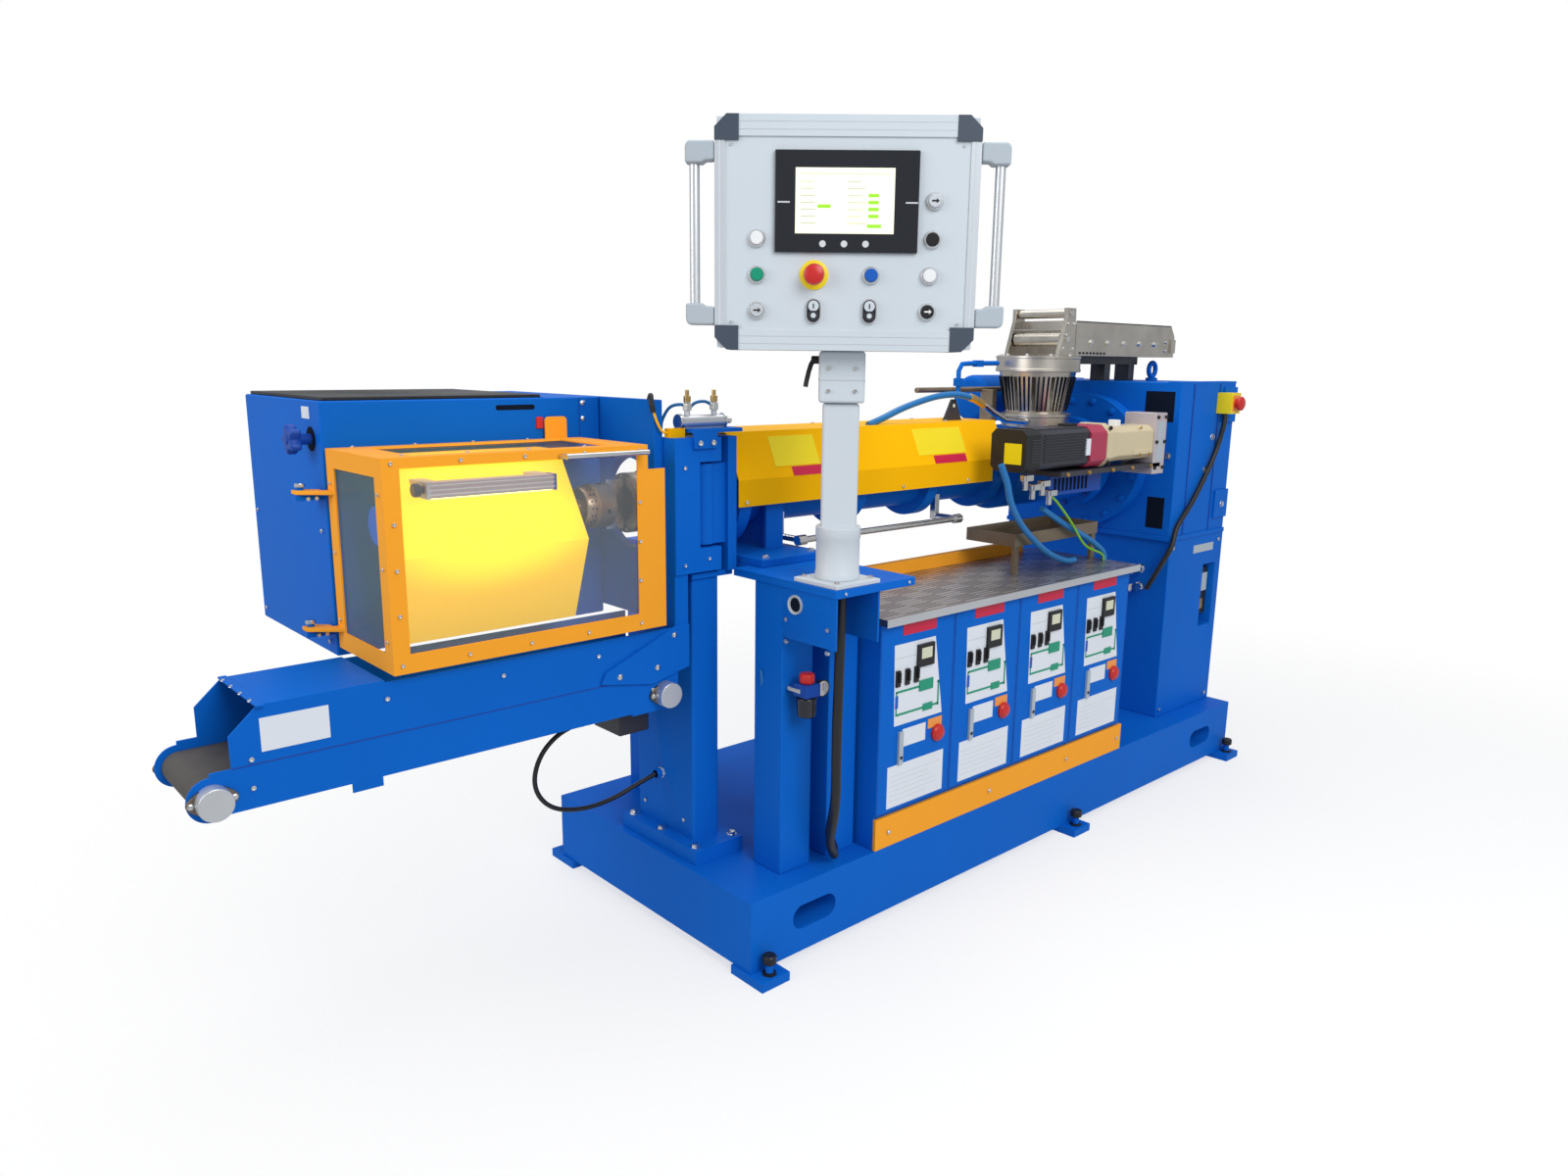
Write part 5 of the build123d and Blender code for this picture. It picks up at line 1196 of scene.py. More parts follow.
@dataclass
class StandTrim:
    """Bolts, grommet, hoses and screw heads on the stand, the column and the skid's feet."""

    arm_x: float = -1071.0
    grommet: tuple = (-418.0, 928.0)
    plate_top: float = 984.0
    support_top: float = 1004.0
    column_left: float = -1168.0
    base_top: float = 252.0
    gland_z: float = 404.0
    regulator_at: tuple = (-1032.0, -420.0, 0.0)
    gauge_at: tuple = (-986.0, -420.0, 706.0)

    def build(self) -> None:
        """Builds the small parts of the stand, the skid and the column."""
        self.stand()
        self.base()
        self.regulator()

    def stand(self) -> None:
        """Grommet and bolts on the arm's side plate, and the two hoses that run down inside it."""
        arm = Shape("arm_trim", Body.MACHINE)
        arm.turned([(-1.5, 17), (-5, 20), (-6, 23), (0.4, 24)], (self.arm_x, *self.grommet), Axis.X,
                   BRACKET_GREY, sides=32)
        # Painted shade: a near-black disc inside the grommet.
        arm.turned([(-1.6, 17), (-1.2, 17)], (self.arm_x - 0.6, *self.grommet), Axis.X, PAINTED_RECESS_SHADE, sides=32)
        arm.bolts([(self.arm_x, y, z) for y in (-387, -530) for z in (832, 887)], Axis.X, -1, 6, socket=True)
        arm.bolts([(-1048, -560, 975), (-830, -560, 975)], Axis.Y, -1, 4, socket=True)
        arm.bolts([(x, y, self.plate_top) for x, y in ((-850, -300), (-850, 300), (-990, 300))], Axis.Z, 1, 8)
        arm.bolts([(x, y, self.support_top) for x in (-990, -830) for y in (-215, 215)], Axis.Z, 1, 9)
        arm.finished()
        fall = ((0, 0, 964), (0, 0, 840), (4, 8, 600), (10, 14, 420), (40, 60, 300), (80, 84, 236))
        starts = ((-1000, -500), (-972, -470))
        hose_set("stand_hoses", Body.MACHINE, [
            ([(x + dx, y + dy, z) for dx, dy, z in fall], 12, HOSE_BLACK) for x, y in starts])

    def base(self) -> None:
        """Bolts of the column and its foot, the cable's gland and the black heads of the levelling screws."""
        places = [(x, y, self.base_top) for x in (-1186, -1064) for y in (-170, -20, 110)]
        screw_set("base_bolts", Body.MACHINE, ((places, Axis.Z, 1, 11, None, False),))
        jacks = Shape("jack_heads", Body.MACHINE)
        for x in (-1187, 146, 1187):
            for y in (-466, 466):
                jacks.turned([(54, 17), (56, 18), (72, 18), (75.5, 15)], (x, y, 0), Axis.Z, BLACK, sides=24)
                jacks.turned([(24.2, 19), (29, 19), (30, 17)], (x, y, 0), Axis.Z, BLACK, sides=6,
                             smooth=False)
        jacks.finished()
        column = Shape("column_trim", Body.MACHINE)
        column.bolts([(self.column_left, y, z) for y in (-100, 76) for z in (300, 900)], Axis.X, -1, 5,
                     socket=True)
        column.turned([(0, 15), (-6, 15), (-8, 13), (-22, 12)], (self.column_left, 0, self.gland_z), Axis.X,
                      BRACKET_GREY, sides=6, smooth=False)
        column.finished()

    def regulator(self) -> None:
        """Gauge, knob and bowl of the air regulator, and the blue tubes beside the column."""
        unit = Shape("regulator_bowl", Body.MACHINE)
        centre = self.regulator_at
        unit.turned([(640, 18), (644, 24), (690, 26), (694, 20)], centre, Axis.Z, GLASS_BLACK, sides=36)
        unit.box((-1056, -444, 694), (-1008, -396, 726), DEEP_BLUE)
        unit.turned([(726, 16), (730, 19), (748, 19), (752, 15)], centre, Axis.Z, RED, sides=20)
        unit.box((-1060, -424, 704), (-1004, -372.5, 716), BRIGHT)
        unit.box((-1010, -424, 700), (-984, -416, 712), BRASS)
        unit.finished(bevel=2.0, replaces=("air_regulator",))
        gauge = Shape("regulator_gauge", Body.MACHINE)
        place = self.gauge_at
        gauge.turned([(8, 17), (-7, 21), (-9, 22), (-10.5, 22), (-10.5, 19.5), (-9.5, 19)], place, Axis.Y,
                     BLACK, sides=40)
        gauge.turned([(-9.6, 19), (-10, 19)], place, Axis.Y, WHITE, sides=40)
        gauge.box((-987, -430.6, 700), (-985, -430.1, 718), RED)
        gauge.finished()
        run = ((-1076, -300, 740), (-1060, -290, 660), (-1052, -284, 560), (-1056, -282, 420),
               (-1062, -276, 260),
               (-1060, -262, 218))
        hose_set("air_tubes", Body.MACHINE, [
            ([(x + shift, y, z) for x, y, z in run], 4.5, HOSE_BLUE) for shift in (0.0, 16.0, 30.0)])


@dataclass
class HoodTrim:
    """Plain plates on the hood's slanted side, screws, and the bracket, hoses and pipes near the feed."""

    foot: tuple = (-150.0, 1197.0)
    head: tuple = (-96.0, 1316.0)
    drive_y: float = -330.0

    def frame(self) -> Matrix:
        """Local frame of the slanted side: X along the hood, Z up the slope, -Y outwards.

        Returns:
            The frame, in millimetres.
        """
        slope = Vector((0.0, self.head[0] - self.foot[0], self.head[1] - self.foot[1])).normalized()
        inward = Vector((1.0, 0.0, 0.0)).cross(slope) * -1.0
        frame = Matrix((Vector((1.0, 0.0, 0.0)), inward, slope)).transposed().to_4x4()
        frame.translation = Vector((0.0, self.foot[0], self.foot[1]))
        return frame

    def build(self) -> None:
        """Builds the plates, the screws, the bracket, the hoses and the pipes."""
        plates = Shape("hood_plain_plates", Body.MACHINE, self.frame())
        for start, end, strip in ((-890, -727, (-834, -725)), (-318, -96, (-254, -103))):
            plates.box((start, -1.0, 30), (end, 0.6, 114), SIGNAL)
            plates.box((strip[0], -1.0, 1), (strip[1], 0.6, 27), LABEL_RED)
        plates.finished()
        side = [(x, self.foot[0], 1140) for x in (-1000, -700, -400, -100)]
        over = [(x, y, self.head[1]) for x in (-1000, -560, -120) for y in (-70, 70)]
        screw_set("hood_rivets", Body.MACHINE, (
            (side, Axis.Y, -1, 5, None, True), (over, Axis.Z, 1, 5, None, True)))
        bracket = Shape("hood_bracket", Body.MACHINE)
        bracket.prism([(-78, 1316.4), (8, 1316.4), (-24, 1382), (-42, 1382)], Axis.Y, -30, -22, BLACK_PAINT)
        bracket.turned([(-31, 6), (-30.5, 6)], (-33, 0, 1362), Axis.Y, WHITE, sides=20)
        bracket.finished(bevel=1.0)
        front = self.drive_y
        over_hood = [(-470, -70, 1316.5), (-404, -62, 1332), (-298, -60, 1364), (-164, -60, 1392),
                     (-60, -60, 1398),
                     (10, -60, 1388)]
        from_drive = [(-160, -320, 1204), (-140, front, 1150), (-110, front, 1080), (-38, front, 1000),
                      (80, front, 920), (187, front, 878), (250, -328, 872)]
        to_deck = [(90, -300, 1050), (200, -320, 990), (330, front, 930), (400, -336, 886), (414, -338, 856)]
        wire = [(62, front, 1110), (120, -336, 1070), (200, -340, 1000), (280, -344, 920), (380, -346, 880),
                (398, -346, 856)]
        runs = [(points, 10, HOSE_BLUE) for points in (over_hood, from_drive, to_deck)]
        hose_set("feed_hoses", Body.MACHINE, runs + [(wire, 4, EARTH)])
        ends = Shape("feed_hose_ends", Body.MACHINE)
        ends.tube([(6, -60, 1389), (30, -60, 1384), (80, -62, 1364)], 13, BRASS, sides=6)
        ends.tube([(80, -62, 1364), (130, -60, 1340), (200, -56, 1312), (330, -50, 1302)], 11, BRIGHT,
                  sides=12)
        ends.tube([(96, 60, 1318), (96, 60, 1470), (112, 60, 1492), (150, 60, 1494), (306, 60, 1496)], 8,
                  BLUE)
        ends.box((84, 48, 1420), (108, 72, 1446), BLUE)
        ends.box((180, 49, 1483), (214, 71, 1505), BLUE)
        ends.finished(bevel=1.0)


@dataclass
class CabinetTrim:
    """Plain label bars, control plates, switches and lamps on the four cabinet fronts."""

    left: float = -790.0
    pitch: float = 300.0
    front: float = -440.0
    count: int = 4
    bottom: float = 312.0
    top: float = 832.0
    switches: tuple = (66.0, 103.0, 139.0)

    def build(self) -> None:
        """Repeats one front's forms on every cabinet."""
        plates = Shape("cabinet_plates", Body.MACHINE)
        parts = Shape("cabinet_controls", Body.MACHINE)
        for index in range(self.count):
            x = self.left + index * self.pitch
            self.front_plates(plates, x)
            self.controls(parts, x)
        plates.finished()
        parts.finished(bevel=0.8)
        trim = Shape("deck_edge", Body.MACHINE)
        trim.box((self.left - 1, -461.5, 833), (435, -459.5, 854), ALUMINIUM)
        trim.box((-780, -438, 829), (-640, -420, 834.5), BLACK)
        trim.finished()
        places = [(x, self.front, 256) for x in (-740, -300, 100, 400)]
        screw_set("kick_bolts", Body.MACHINE, ((places, Axis.Y, -1, 6, None, True),))

    def front_plates(self, shape: Shape, x: float) -> None:
        """Flat plates and lines of one front.

        Args:
            shape: The piece that they are added to.
            x: The front's left edge.
        """
        face = self.front
        shape.box((x + 84, face - 1, 796), (x + 218, face + 0.5, 829), LABEL_RED)
        outline = [(x + 52, 774), (x + 216, 774), (x + 254, 551), (x + 59, 551)]
        shape.prism(outline, Axis.Y, face - 1, face + 0.5, PLATE_WHITE)
        shape.box((x + 39, face - 1, 322), (x + 268, face + 0.5, 440), PLATE_WHITE)
        shape.box((x + 94, face - 1, 486), (x + 188, face + 0.5, 536), PLATE_WHITE)
        shape.box((x + 198, face - 1, 514), (x + 256, face + 0.5, 541), ORANGE)
        for low, high in (((62, 641), (154, 647)), ((230, 641), (238, 647)), ((232, 576), (238, 645)),
                          ((66, 578), (238, 584)),
                          ((62, 578), (67, 645))):
            shape.box((x + low[0], face - 1.8, low[1]), (x + high[0], face - 0.4, high[1]), GREEN)
        shape.box((x + 154, face - 4, 630), (x + 210, face - 0.4, 660), GREEN)
        shape.box((x + 172, face - 3, 571), (x + 211, face - 0.4, 591), GREEN)
        shape.box((x + 60, face - 3, 600), (x + 70, face - 0.4, 634), BUTTON_BLUE)
        shape.box((x + 58, face - 1.6, 735), (x + 140, face - 0.4, 738), SCREEN_LINE_PALE)
        for row in range(6):
            wide = 150 + (row * 47) % 60
            shape.box((x + 50, face - 1.4, 340 + row * 14), (x + 50 + wide, face - 0.6, 342 + row * 14),
                      SCREEN_LINE_PALE)

    def controls(self, shape: Shape, x: float) -> None:
        """Instrument, three switches, the round red switch, the handle bar and the seams of one front.

        Args:
            shape: The piece that they are added to.
            x: The front's left edge.
        """
        face = self.front
        shape.box((x + 140, face - 9, 700), (x + 206, face, 762), BLACK)
        shape.box((x + 152, face - 10, 722), (x + 194, face - 8.4, 752), SCREEN_LINE)
        for step in self.switches:
            shape.box((x + step - 8, face - 7, 660), (x + step + 8, face, 704), BLACK)
            shape.box((x + step - 2, face - 12, 672), (x + step + 5, face - 6, 700), BLACK)
        shape.turned([(0, 24), (-8, 24), (-10, 20), (-14, 18), (-18, 8)], (x + 237, face, 496), Axis.Y, RED,
                     sides=32)
        shape.box((x + 76, face - 8, 440), (x + 92, face, 532), BRACKET_GREY)
        shape.turned([(-8, 5), (-10, 5)], (x + 84, face, 460), Axis.Y, BLACK, sides=16)
        for edge in (x + 2, x + 292):
            shape.box((edge, face - 0.6, self.bottom + 1), (edge + 2, face + 0.5, self.top), DEEP_BLUE)
        shape.box((x + 2, face - 0.6, self.bottom), (x + 294, face + 0.5, self.bottom + 2), DEEP_BLUE)


@dataclass
class GearboxTrim:
    """Seams, pads, bolts, the window's device, pipe couplings and the stop button's cable."""

    front: float = -353.0
    left: float = 813.0
    right: float = 1217.0
    back: float = 353.0
    joint: tuple = (876.0, 892.0)
    rim: tuple = (1432.0, 1440.0)
    barrel_z: float = 1145.0

    def build(self) -> None:
        """Builds the casting's small forms and what hangs on it."""
        cast = Shape("gearbox_pads", Body.MACHINE)
        cast.box((1120, self.front - 8, 1291), (1216, self.front + 1, 1419), BLUE)
        cast.box((1116, self.front - 8, 935), (1216, self.front + 1, 1040), BLUE)
        for start, end in ((900, 906), (1090, 1094)):
            cast.box((start, self.front - 3, 884), (end, self.front + 1, self.rim[0]), DEEP_BLUE)
        cast.box((self.left, self.front - 5, self.joint[0]), (self.right, self.front + 1, self.joint[1]),
                 BLUE)
        # Painted shade: two near-black sheets on the casting's left side.
        cast.box((self.left - 1, -330, 1299), (self.left + 1, -218, 1405), PAINTED_RECESS_SHADE)
        cast.box((self.left - 1, -322, 918), (self.left + 1, -255, 1030), PAINTED_RECESS_SHADE)
        cast.box((self.left - 6, self.front, self.joint[0]), (self.left + 1, self.back, self.joint[1]), BLUE)
        for near, far in ((self.front, -300), (300, self.back)):
            cast.box((self.left, near, self.rim[0]), (self.right, far, self.rim[1]), BLUE)
        cast.finished(bevel=2.5)
        ring = Shape("main_flange_bolts", Body.MACHINE)
        for x, count, radius, size, finish in ((753, 16, 222, 12, BLUE), (650, 10, 149, 8, DEEP_BLUE)):
            places = [(x, y, self.barrel_z + z) for y, z in ring_of(count, radius, 11)]
            ring.bolts(places, Axis.X, -1, size, finish=finish)
        ring.bolts([(x, -117, self.barrel_z) for x in (-537, -217, 103)], Axis.Y, -1, 9, finish=BLUE)
        ring.finished()
        bolts = Shape("gearbox_bolts", Body.MACHINE)
        bolts.turned([(0, 17), (-4, 17), (-6, 12), (-6.5, 8)], (1029, self.front, 1119), Axis.Y, BRIGHT,
                     sides=32)
        bolts.bolts([(1168, self.front - 8, 1356), (1166, self.front - 8, 986), (1060, self.front, 1240)],
                    Axis.Y, -1, 10)
        bolts.bolts([(x, self.front, z) for x in (840, 1180) for z in (240, 850)], Axis.Y, -1, 7, socket=True)
        bolts.bolts([(self.left, y, 1180) for y in (-320, 320)], Axis.X, -1, 10)
        bolts.finished()
        plinth = Shape("plinth_trim", Body.MACHINE)
        plinth.box((1000, self.front - 1, 812), (1150, self.front + 0.5, 842), BRACKET_GREY)
        plinth.box((1096, -330, 560), (1174, -294.5, 740), BLACK)
        plinth.box((1104, -334, 650), (1166, -329.5, 720), BRACKET_GREY)
        plinth.box((1104, -333, 580), (1150, -329.5, 620), BRASS)
        plinth.finished(bevel=2.0)
        couplings = Shape("plinth_couplings", Body.MACHINE)
        for z in (763, 696):
            couplings.turned([(0.5, 17), (-10, 17), (-12, 13), (-34, 13), (-36, 16), (-60, 16), (-62, 11)],
                             (822, -250, z),
                             Axis.X, BRIGHT, sides=32)
        couplings.finished()
        self.stop_box()

    def stop_box(self) -> None:
        """Red mushroom button on its yellow box, with the cable that runs down the corner."""
        box = Shape("stop_box", Body.MACHINE)
        box.box((1077, -408, 1325), (1147, -353, 1400), SIGNAL)
        box.box((1086, -409, 1334), (1138, -407.5, 1391), ORANGE)
        dome = [(0, 17), (-8, 17), (-9, 20), (-14, 25), (-22, 25), (-27, 18), (-28, 6)]
        box.turned(dome, (1112, -408, 1362), Axis.Y, RED, sides=40)
        box.finished(bevel=3.0, segments=3, replaces=("estop_box",))
        run = [(1090, -380, 1326), (1088, -382, 1290), (1070, -372, 1200), (1020, -366, 1110),
               (930, -366, 1010),
               (840, -366, 930), (800, -370, 860), (780, -340, 780), (776, -300, 700)]
        hose_set("stop_cable", Body.MACHINE, ((run, 9, HOSE_BLACK),))
        valve = Shape("drain_cock", Body.MACHINE)
        valve.turned([(0, 15), (8, 15), (9, 21), (26, 21), (27, 16), (40, 16), (41, 19), (56, 19), (59, 12)],
                     (self.right, -300, 925), Axis.X, BRASS, sides=6, smooth=False)
        valve.box((1236, -312, 940), (1262, -288, 956), BRASS)
        valve.box((1262, -306, 882), (1272, -294, 926), BRIGHT)
        valve.finished(bevel=1.5, replaces=("drain_valve",))


@dataclass
class FeedTrim:
    """Bars, screws and slots of the roller feed, its neck and its chute."""

    centre_x: float = 455.0
    neck: tuple = ((104.4, 1336.0), (130.0, 1452.0))
    slots: int = 12
    step: int = 4
    side: float = 112.0
    ring_top: float = 1522.0

    def build(self) -> None:
        """Builds the small forms from the neck up to the chute."""
        # Painted shade: near-black prisms stand for the gaps between the neck's bars.
        bars = Shape("neck_bars", Body.MACHINE)
        low, high = self.neck
        places = self.slots * self.step
        for turn in range(places):
            if turn % self.step == 0:
                continue
            spin = Matrix.Rotation(math.radians(turn * 360 / places), 4, "Z")
            bars.frame = np.array(Matrix.Translation((self.centre_x, 0, 0)) @ spin)
            outline = [(low[0] + 0.6, low[1]), (low[0] + 3.2, low[1]), (high[0] + 2.4, high[1]),
                       (high[0] - 0.4, high[1])]
            bars.prism(outline, Axis.Y, -2.8, 2.8, PAINTED_RECESS_SHADE)
        bars.finished()
        ring = Shape("feed_ring_trim", Body.MACHINE)
        where = (self.centre_x, 0, 0)
        for profile in ([(1468.5, 141), (1470, 145), (1478, 145), (1480, 143.4)],
                        [(1512, 143.4), (1514, 145), (1521, 145), (1522.4, 141)],
                        [(1314, 117), (1316, 121), (1326, 121), (1328, 108)]):
            ring.turned(profile, where, Axis.Z, STEEL, sides=72)
        ring.finished()
        screws = Shape("feed_screws", Body.MACHINE)
        screws.bolts([(self.centre_x + x, y, self.ring_top) for x, y in ring_of(10, 128, 18)], Axis.Z, 1, 6,
                     socket=True)
        screws.bolts([(x, -self.side, z) for x,
                      z in ((432, 1548), (446, 1592), (455, 1630), (490, 1548), (488, 1630))], Axis.Y, -1, 5,
                     socket=True)
        for x, z in ((473, 1664), (455, 1578)):
            for side in (-1, 1):
                profile = [(0, 10), (side * 4, 10), (side * 5, 8)]
                screws.turned(profile, (x, side * self.side, z), Axis.Y, BRIGHT, sides=24)
        screws.bolts([(x, -self.side, 1570) for x in (600, 707, 815, 922, 1030)], Axis.Y, -1, 9)
        screws.bolts([(1112, -self.side, z) for z in (1548, 1580)], Axis.Y, -1, 5, socket=True)
        screws.finished()
        chute = Shape("chute_trim", Body.MACHINE)
        # Painted shade: near-black sheets for the chute's slots and the gaps along its top edges.
        for x in range(530, 700, 22):
            chute.box((x, -112.8, 1530), (x + 12, -111.5, 1537), PAINTED_RECESS_SHADE)
        for near in (-113.5, 108.5):
            chute.box((508, near, 1637.5), (1142, near + 5, 1641), PAINTED_RECESS_SHADE)
        chute.box((1143, -118, 1540), (1175.5, -111, 1590), STEEL)
        chute.box((430, -98, 1608), (436, 98, 1612), STEEL)
        chute.finished()
        eye = Shape("lifting_eye", Body.MACHINE)
        turn = np.linspace(0, 2 * np.pi, 25)
        eye.tube([(1120 + 24 * math.sin(t), -60, 1478 - 26 * math.cos(t)) for t in turn], 9, BLUE)
        eye.turned([(1437.4, 22), (1446, 22), (1450, 12), (1456, 10)], (1120, -60, 0), Axis.Z, BLUE, sides=28)
        eye.finished()


@dataclass
class DriveTrim:
    """The feed drive in detail: cover, cooling fins, flange, gearhead and end block."""

    y: float = -295.0
    z: float = 1240.0
    cover: tuple = (-95.0, -18.0)
    body: tuple = (-20.0, 252.0)
    flange: tuple = (252.0, 342.0)
    collar: tuple = (342.0, 372.0)
    end_block: tuple = (650.0, 725.0)

    def chamfered(self, half: float, cut: float) -> list:
        """Square outline about the drive's axis with cut corners.

        Args:
            half: Half of the square's side.
            cut: What each corner loses on either side.

        Returns:
            Pairs of coordinates.
        """
        near, far, low, high = self.y - half, self.y + half, self.z - half, self.z + half
        return [(near + cut, low), (far - cut, low), (far, low + cut), (far, high - cut), (far - cut, high),
                (near + cut, high), (near, high - cut), (near, low + cut)]

    def build(self) -> None:
        """Builds the motor with its fins, then the gearhead, the end block and the bracket's screws."""
        motor = Shape("servo_body", Body.MACHINE)
        motor.prism(self.chamfered(64, 16), Axis.X, *self.cover, BLACK)
        motor.prism(self.chamfered(58, 10), Axis.X, *self.body, BLACK_PAINT)
        motor.box((-60, self.y - 44, self.z + 56), (236, self.y + 40, self.z + 64), BLACK_PAINT)
        motor.box((180, self.y - 20, self.z + 62), (236, self.y + 16, self.z + 72), BLACK)
        for index in range(11):
            z = self.z - 39 + index * 8.4
            motor.box((4, self.y - 62.5, z), (232, self.y - 56, z + 3.2), BLACK_PAINT)
        for index in range(9):
            z = self.z - 34 + index * 8
            motor.box((-66, self.y - 65.5, z), (-24, self.y - 63, z + 3.4), BLACK_PAINT)
        motor.finished(bevel=0.8, replaces=("servo_motor",))
        plates = Shape("servo_plain_plates", Body.MACHINE)
        plates.box((-96, -344, 1200), (-94, -282, 1262), SIGNAL)
        plates.box((228, self.y - 64, 1214), (252, self.y - 57.5, 1266), PLATE_WHITE)
        plates.finished()
        flange = Shape("servo_flange", Body.MACHINE)
        flange.prism(self.chamfered(66, 22), Axis.X, *self.flange, CRIMSON)
        flange.finished(bevel=3.0, segments=3)
        head = Shape("gearhead_body", Body.MACHINE)
        head.prism(self.chamfered(70, 30), Axis.X, *self.collar, CREAM)
        rows = []
        for x, size in ((372, 62), (420, 57), (430, 56), (650, 56)):
            rows.append(np.array([[x, y, z] for y, z in self.chamfered(size, 18)]))
        head.grid(np.stack(rows), CREAM, smooth=False)
        head.box((520, self.y - 60, self.z - 40), (640, self.y - 52, self.z - 22), CREAM)
        head.box((470, self.y - 16, self.z + 52), (500, self.y + 14, self.z + 76), WHITE)
        start, end = self.end_block
        head.box((start, self.y - 60, self.z - 112), (end, self.y + 60, self.z + 96), END_PLATE)
        head.finished(bevel=3.0, segments=3, replaces=("servo_gearhead",))
        inset = Shape("gearhead_window", Body.MACHINE)
        inset.box((668, self.y - 61, self.z - 70), (708, self.y - 59, self.z + 66), BRACKET_GREY)
        inset.finished(bevel=0.8)
        screws = Shape("servo_screws", Body.MACHINE)
        screws.bolts([(x, self.y - 60, z) for x in (662, 713) for z in (1150, 1238, 1322)], Axis.Y, -1, 6,
                     BLACK, True)
        screws.bolts([(356, self.y - 64, z) for z in (1184, 1296)], Axis.Y, -1, 7, BLACK, True)
        screws.bolts([(560, self.y - 60, 1200), (620, self.y - 60, 1200), (560, self.y - 56, 1290)], Axis.Y,
                     -1, 5, BRASS)
        screws.bolts([(x, -355, 1158) for x in (140, 260, 400, 520, 640)], Axis.Y, -1, 6, BRASS)
        screws.finished()
        louvre = Shape("drive_louvre", Body.MACHINE)
        louvre.box((120, -300, 1086), (420, -292, 1148), DEEP_BLUE)
        # Painted shade: near-black sheets for the louvre's slots.
        for x in range(150, 330, 22):
            louvre.box((x, -302, 1098), (x + 10, -299.5, 1140), PAINTED_RECESS_SHADE)
        louvre.finished(bevel=1.0)
        joints = Shape("drive_fittings", Body.MACHINE)
        for x, z in ((-70, 1150), (-30, 1120), (20, 1128), (60, 1096)):
            joints.box((x, -352, z), (x + 34, -326, z + 18), BRIGHT)
            joints.turned([(-8, 9), (20, 9), (21, 12), (36, 12)], (x + 8, -339, z - 20), Axis.Z, BRIGHT,
                          sides=12)
        joints.finished(bevel=1.5)


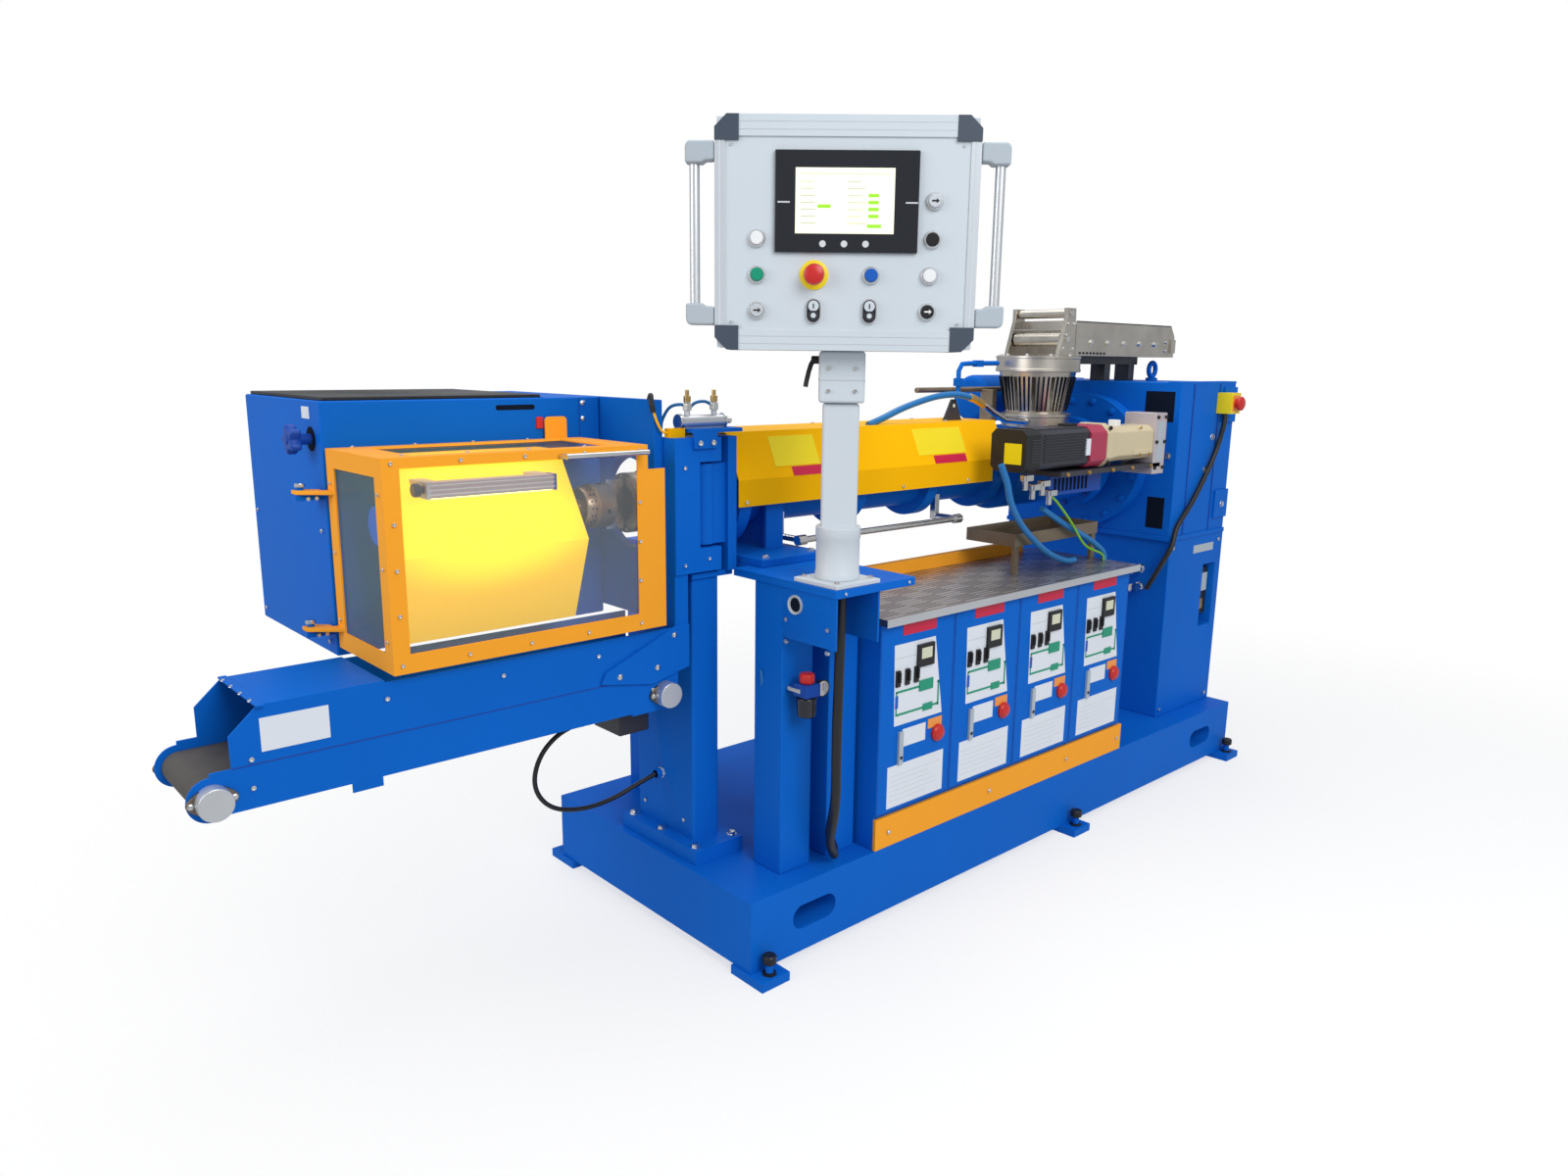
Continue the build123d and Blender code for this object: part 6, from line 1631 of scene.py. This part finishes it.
@dataclass
class Stage:
    """Floor, world, lamps and camera."""

    camera_at: tuple = (-2.780, -2.256, 1.500)
    yaw: float = 42.263
    pitch: float = 11.956
    roll: float = -0.67
    focal_pixels: float = 1101.0
    frame_pixels: float = 1600.0
    floor_fade: tuple = (1.6, 3.6)
    floor_alpha: float = 0.35

    def build(self) -> None:
        """Builds everything that isn't the object."""
        scene = bpy.context.scene
        scene.view_settings.view_transform = "Standard"
        self.floor()
        self.world()
        self.lamps()
        self.camera()

    def floor(self) -> None:
        """A large pale floor."""
        mesh = bpy.data.meshes.new("floor")
        reach = 60.0
        mesh.from_pydata([(-reach, -reach, 0), (reach, -reach, 0), (reach, reach, 0), (-reach, reach, 0)], [],
                         [(0, 1, 2, 3)])
        floor = bpy.data.objects.new("floor", mesh)
        bpy.context.scene.collection.objects.link(floor)
        material = bpy.data.materials.new("floor_white")
        material.use_nodes = True
        shader = material.node_tree.nodes["Principled BSDF"]
        shader.inputs["Base Color"].default_value = (0.95, 0.95, 0.95, 1.0)
        shader.inputs["Roughness"].default_value = 0.9
        shader.inputs["Specular IOR Level"].default_value = 0.1
        self.fade(material, shader)
        mesh.materials.append(material)

    def fade(self, material: bpy.types.Material, shader: bpy.types.Node) -> None:
        """Lets the floor fade out with distance, so that it meets the white behind it without an edge.

        Args:
            material: The floor's material.
            shader: Its main shader.
        """
        tree = material.node_tree
        far = shader_node(tree, "VectorMath", {0: object_place(tree)}, operation="LENGTH")
        near, gone = self.floor_fade
        ramp = shader_node(tree, "MapRange", {"From Min": near, "From Max": gone, "To Min": self.floor_alpha,
                                              "To Max": 0.0, "Value": far.outputs["Value"]},
                           interpolation_type="SMOOTHSTEP")
        tree.links.new(ramp.outputs["Result"], shader.inputs["Alpha"])

    def world(self) -> None:
        """White behind the object, softer light from all round."""
        world = bpy.data.worlds.new("studio")
        world.use_nodes = True
        tree = world.node_tree
        plain = tree.nodes["Background"]
        plain.inputs["Color"].default_value = (0.93, 0.96, 1.0, 1.0)
        plain.inputs["Strength"].default_value = 0.5
        seen = shader_node(tree, "Background", {"Color": (1.0, 1.0, 1.0, 1.0)})
        ray = shader_node(tree, "LightPath", {})
        mix = shader_node(tree, "MixShader", {"Fac": ray.outputs["Is Camera Ray"],
                                              1: plain.outputs["Background"],
                                              2: seen.outputs["Background"]})
        tree.links.new(mix.outputs["Shader"], tree.nodes["World Output"].inputs["Surface"])
        bpy.context.scene.world = world

    def lamps(self) -> None:
        """Large soft lamps above, in front and to the left."""
        for name, at, aim, size, power in (
            ("key", (-1.6, -4.8, 4.2), (-0.3, 0.0, 0.8), 3.0, 160.0),
            ("top", (0.0, 0.6, 4.8), (0.0, 0.0, 0.6), 4.0, 90.0),
            ("left", (-5.2, 0.6, 2.6), (-1.0, 0.0, 0.9), 2.5, 60.0),
        ):
            light = bpy.data.lights.new(name, "AREA")
            light.energy = power
            light.size = size
            lamp = bpy.data.objects.new(name, light)
            bpy.context.scene.collection.objects.link(lamp)
            lamp.location = placed(at)
            lamp.rotation_euler = (Vector(aim) - Vector(at)).to_track_quat("-Z", "Y").to_euler()

    def camera(self) -> None:
        """The photograph's camera, from its place, three angles and focal length in pixels."""
        yaw, pitch, roll = (math.radians(v) for v in (self.yaw, self.pitch, self.roll))
        forward = Vector((math.sin(yaw) * math.cos(pitch), math.cos(yaw) * math.cos(pitch), -math.sin(pitch)))
        right = Vector((math.cos(yaw), -math.sin(yaw), 0.0))
        down = forward.cross(right)
        right_turned = math.cos(roll) * right + math.sin(roll) * down
        down_turned = -math.sin(roll) * right + math.cos(roll) * down
        data = bpy.data.cameras.new("camera")
        data.sensor_width = 36.0
        data.lens = data.sensor_width * self.focal_pixels / self.frame_pixels
        data.clip_end = 200.0
        camera = bpy.data.objects.new("camera", data)
        matrix = Matrix((right_turned, -down_turned, -forward)).transposed().to_4x4()
        matrix.translation = placed(self.camera_at)
        camera.matrix_world = matrix
        bpy.context.scene.collection.objects.link(camera)
        bpy.context.scene.camera = camera


def main() -> None:
    """Builds the stage and every sub-assembly."""
    logging.basicConfig(level=logging.INFO)
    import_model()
    for part in (Stage(), CadForms(), OperatorPanel(), GuardTrim(), CutterTrim(), ConveyorTrim(),
                 StandTrim(), HoodTrim(), CabinetTrim(), GearboxTrim(), FeedTrim(), DriveTrim()):
        part.build()
        LOG.info("%s built", type(part).__name__)


if __name__ == "__main__":
    main()
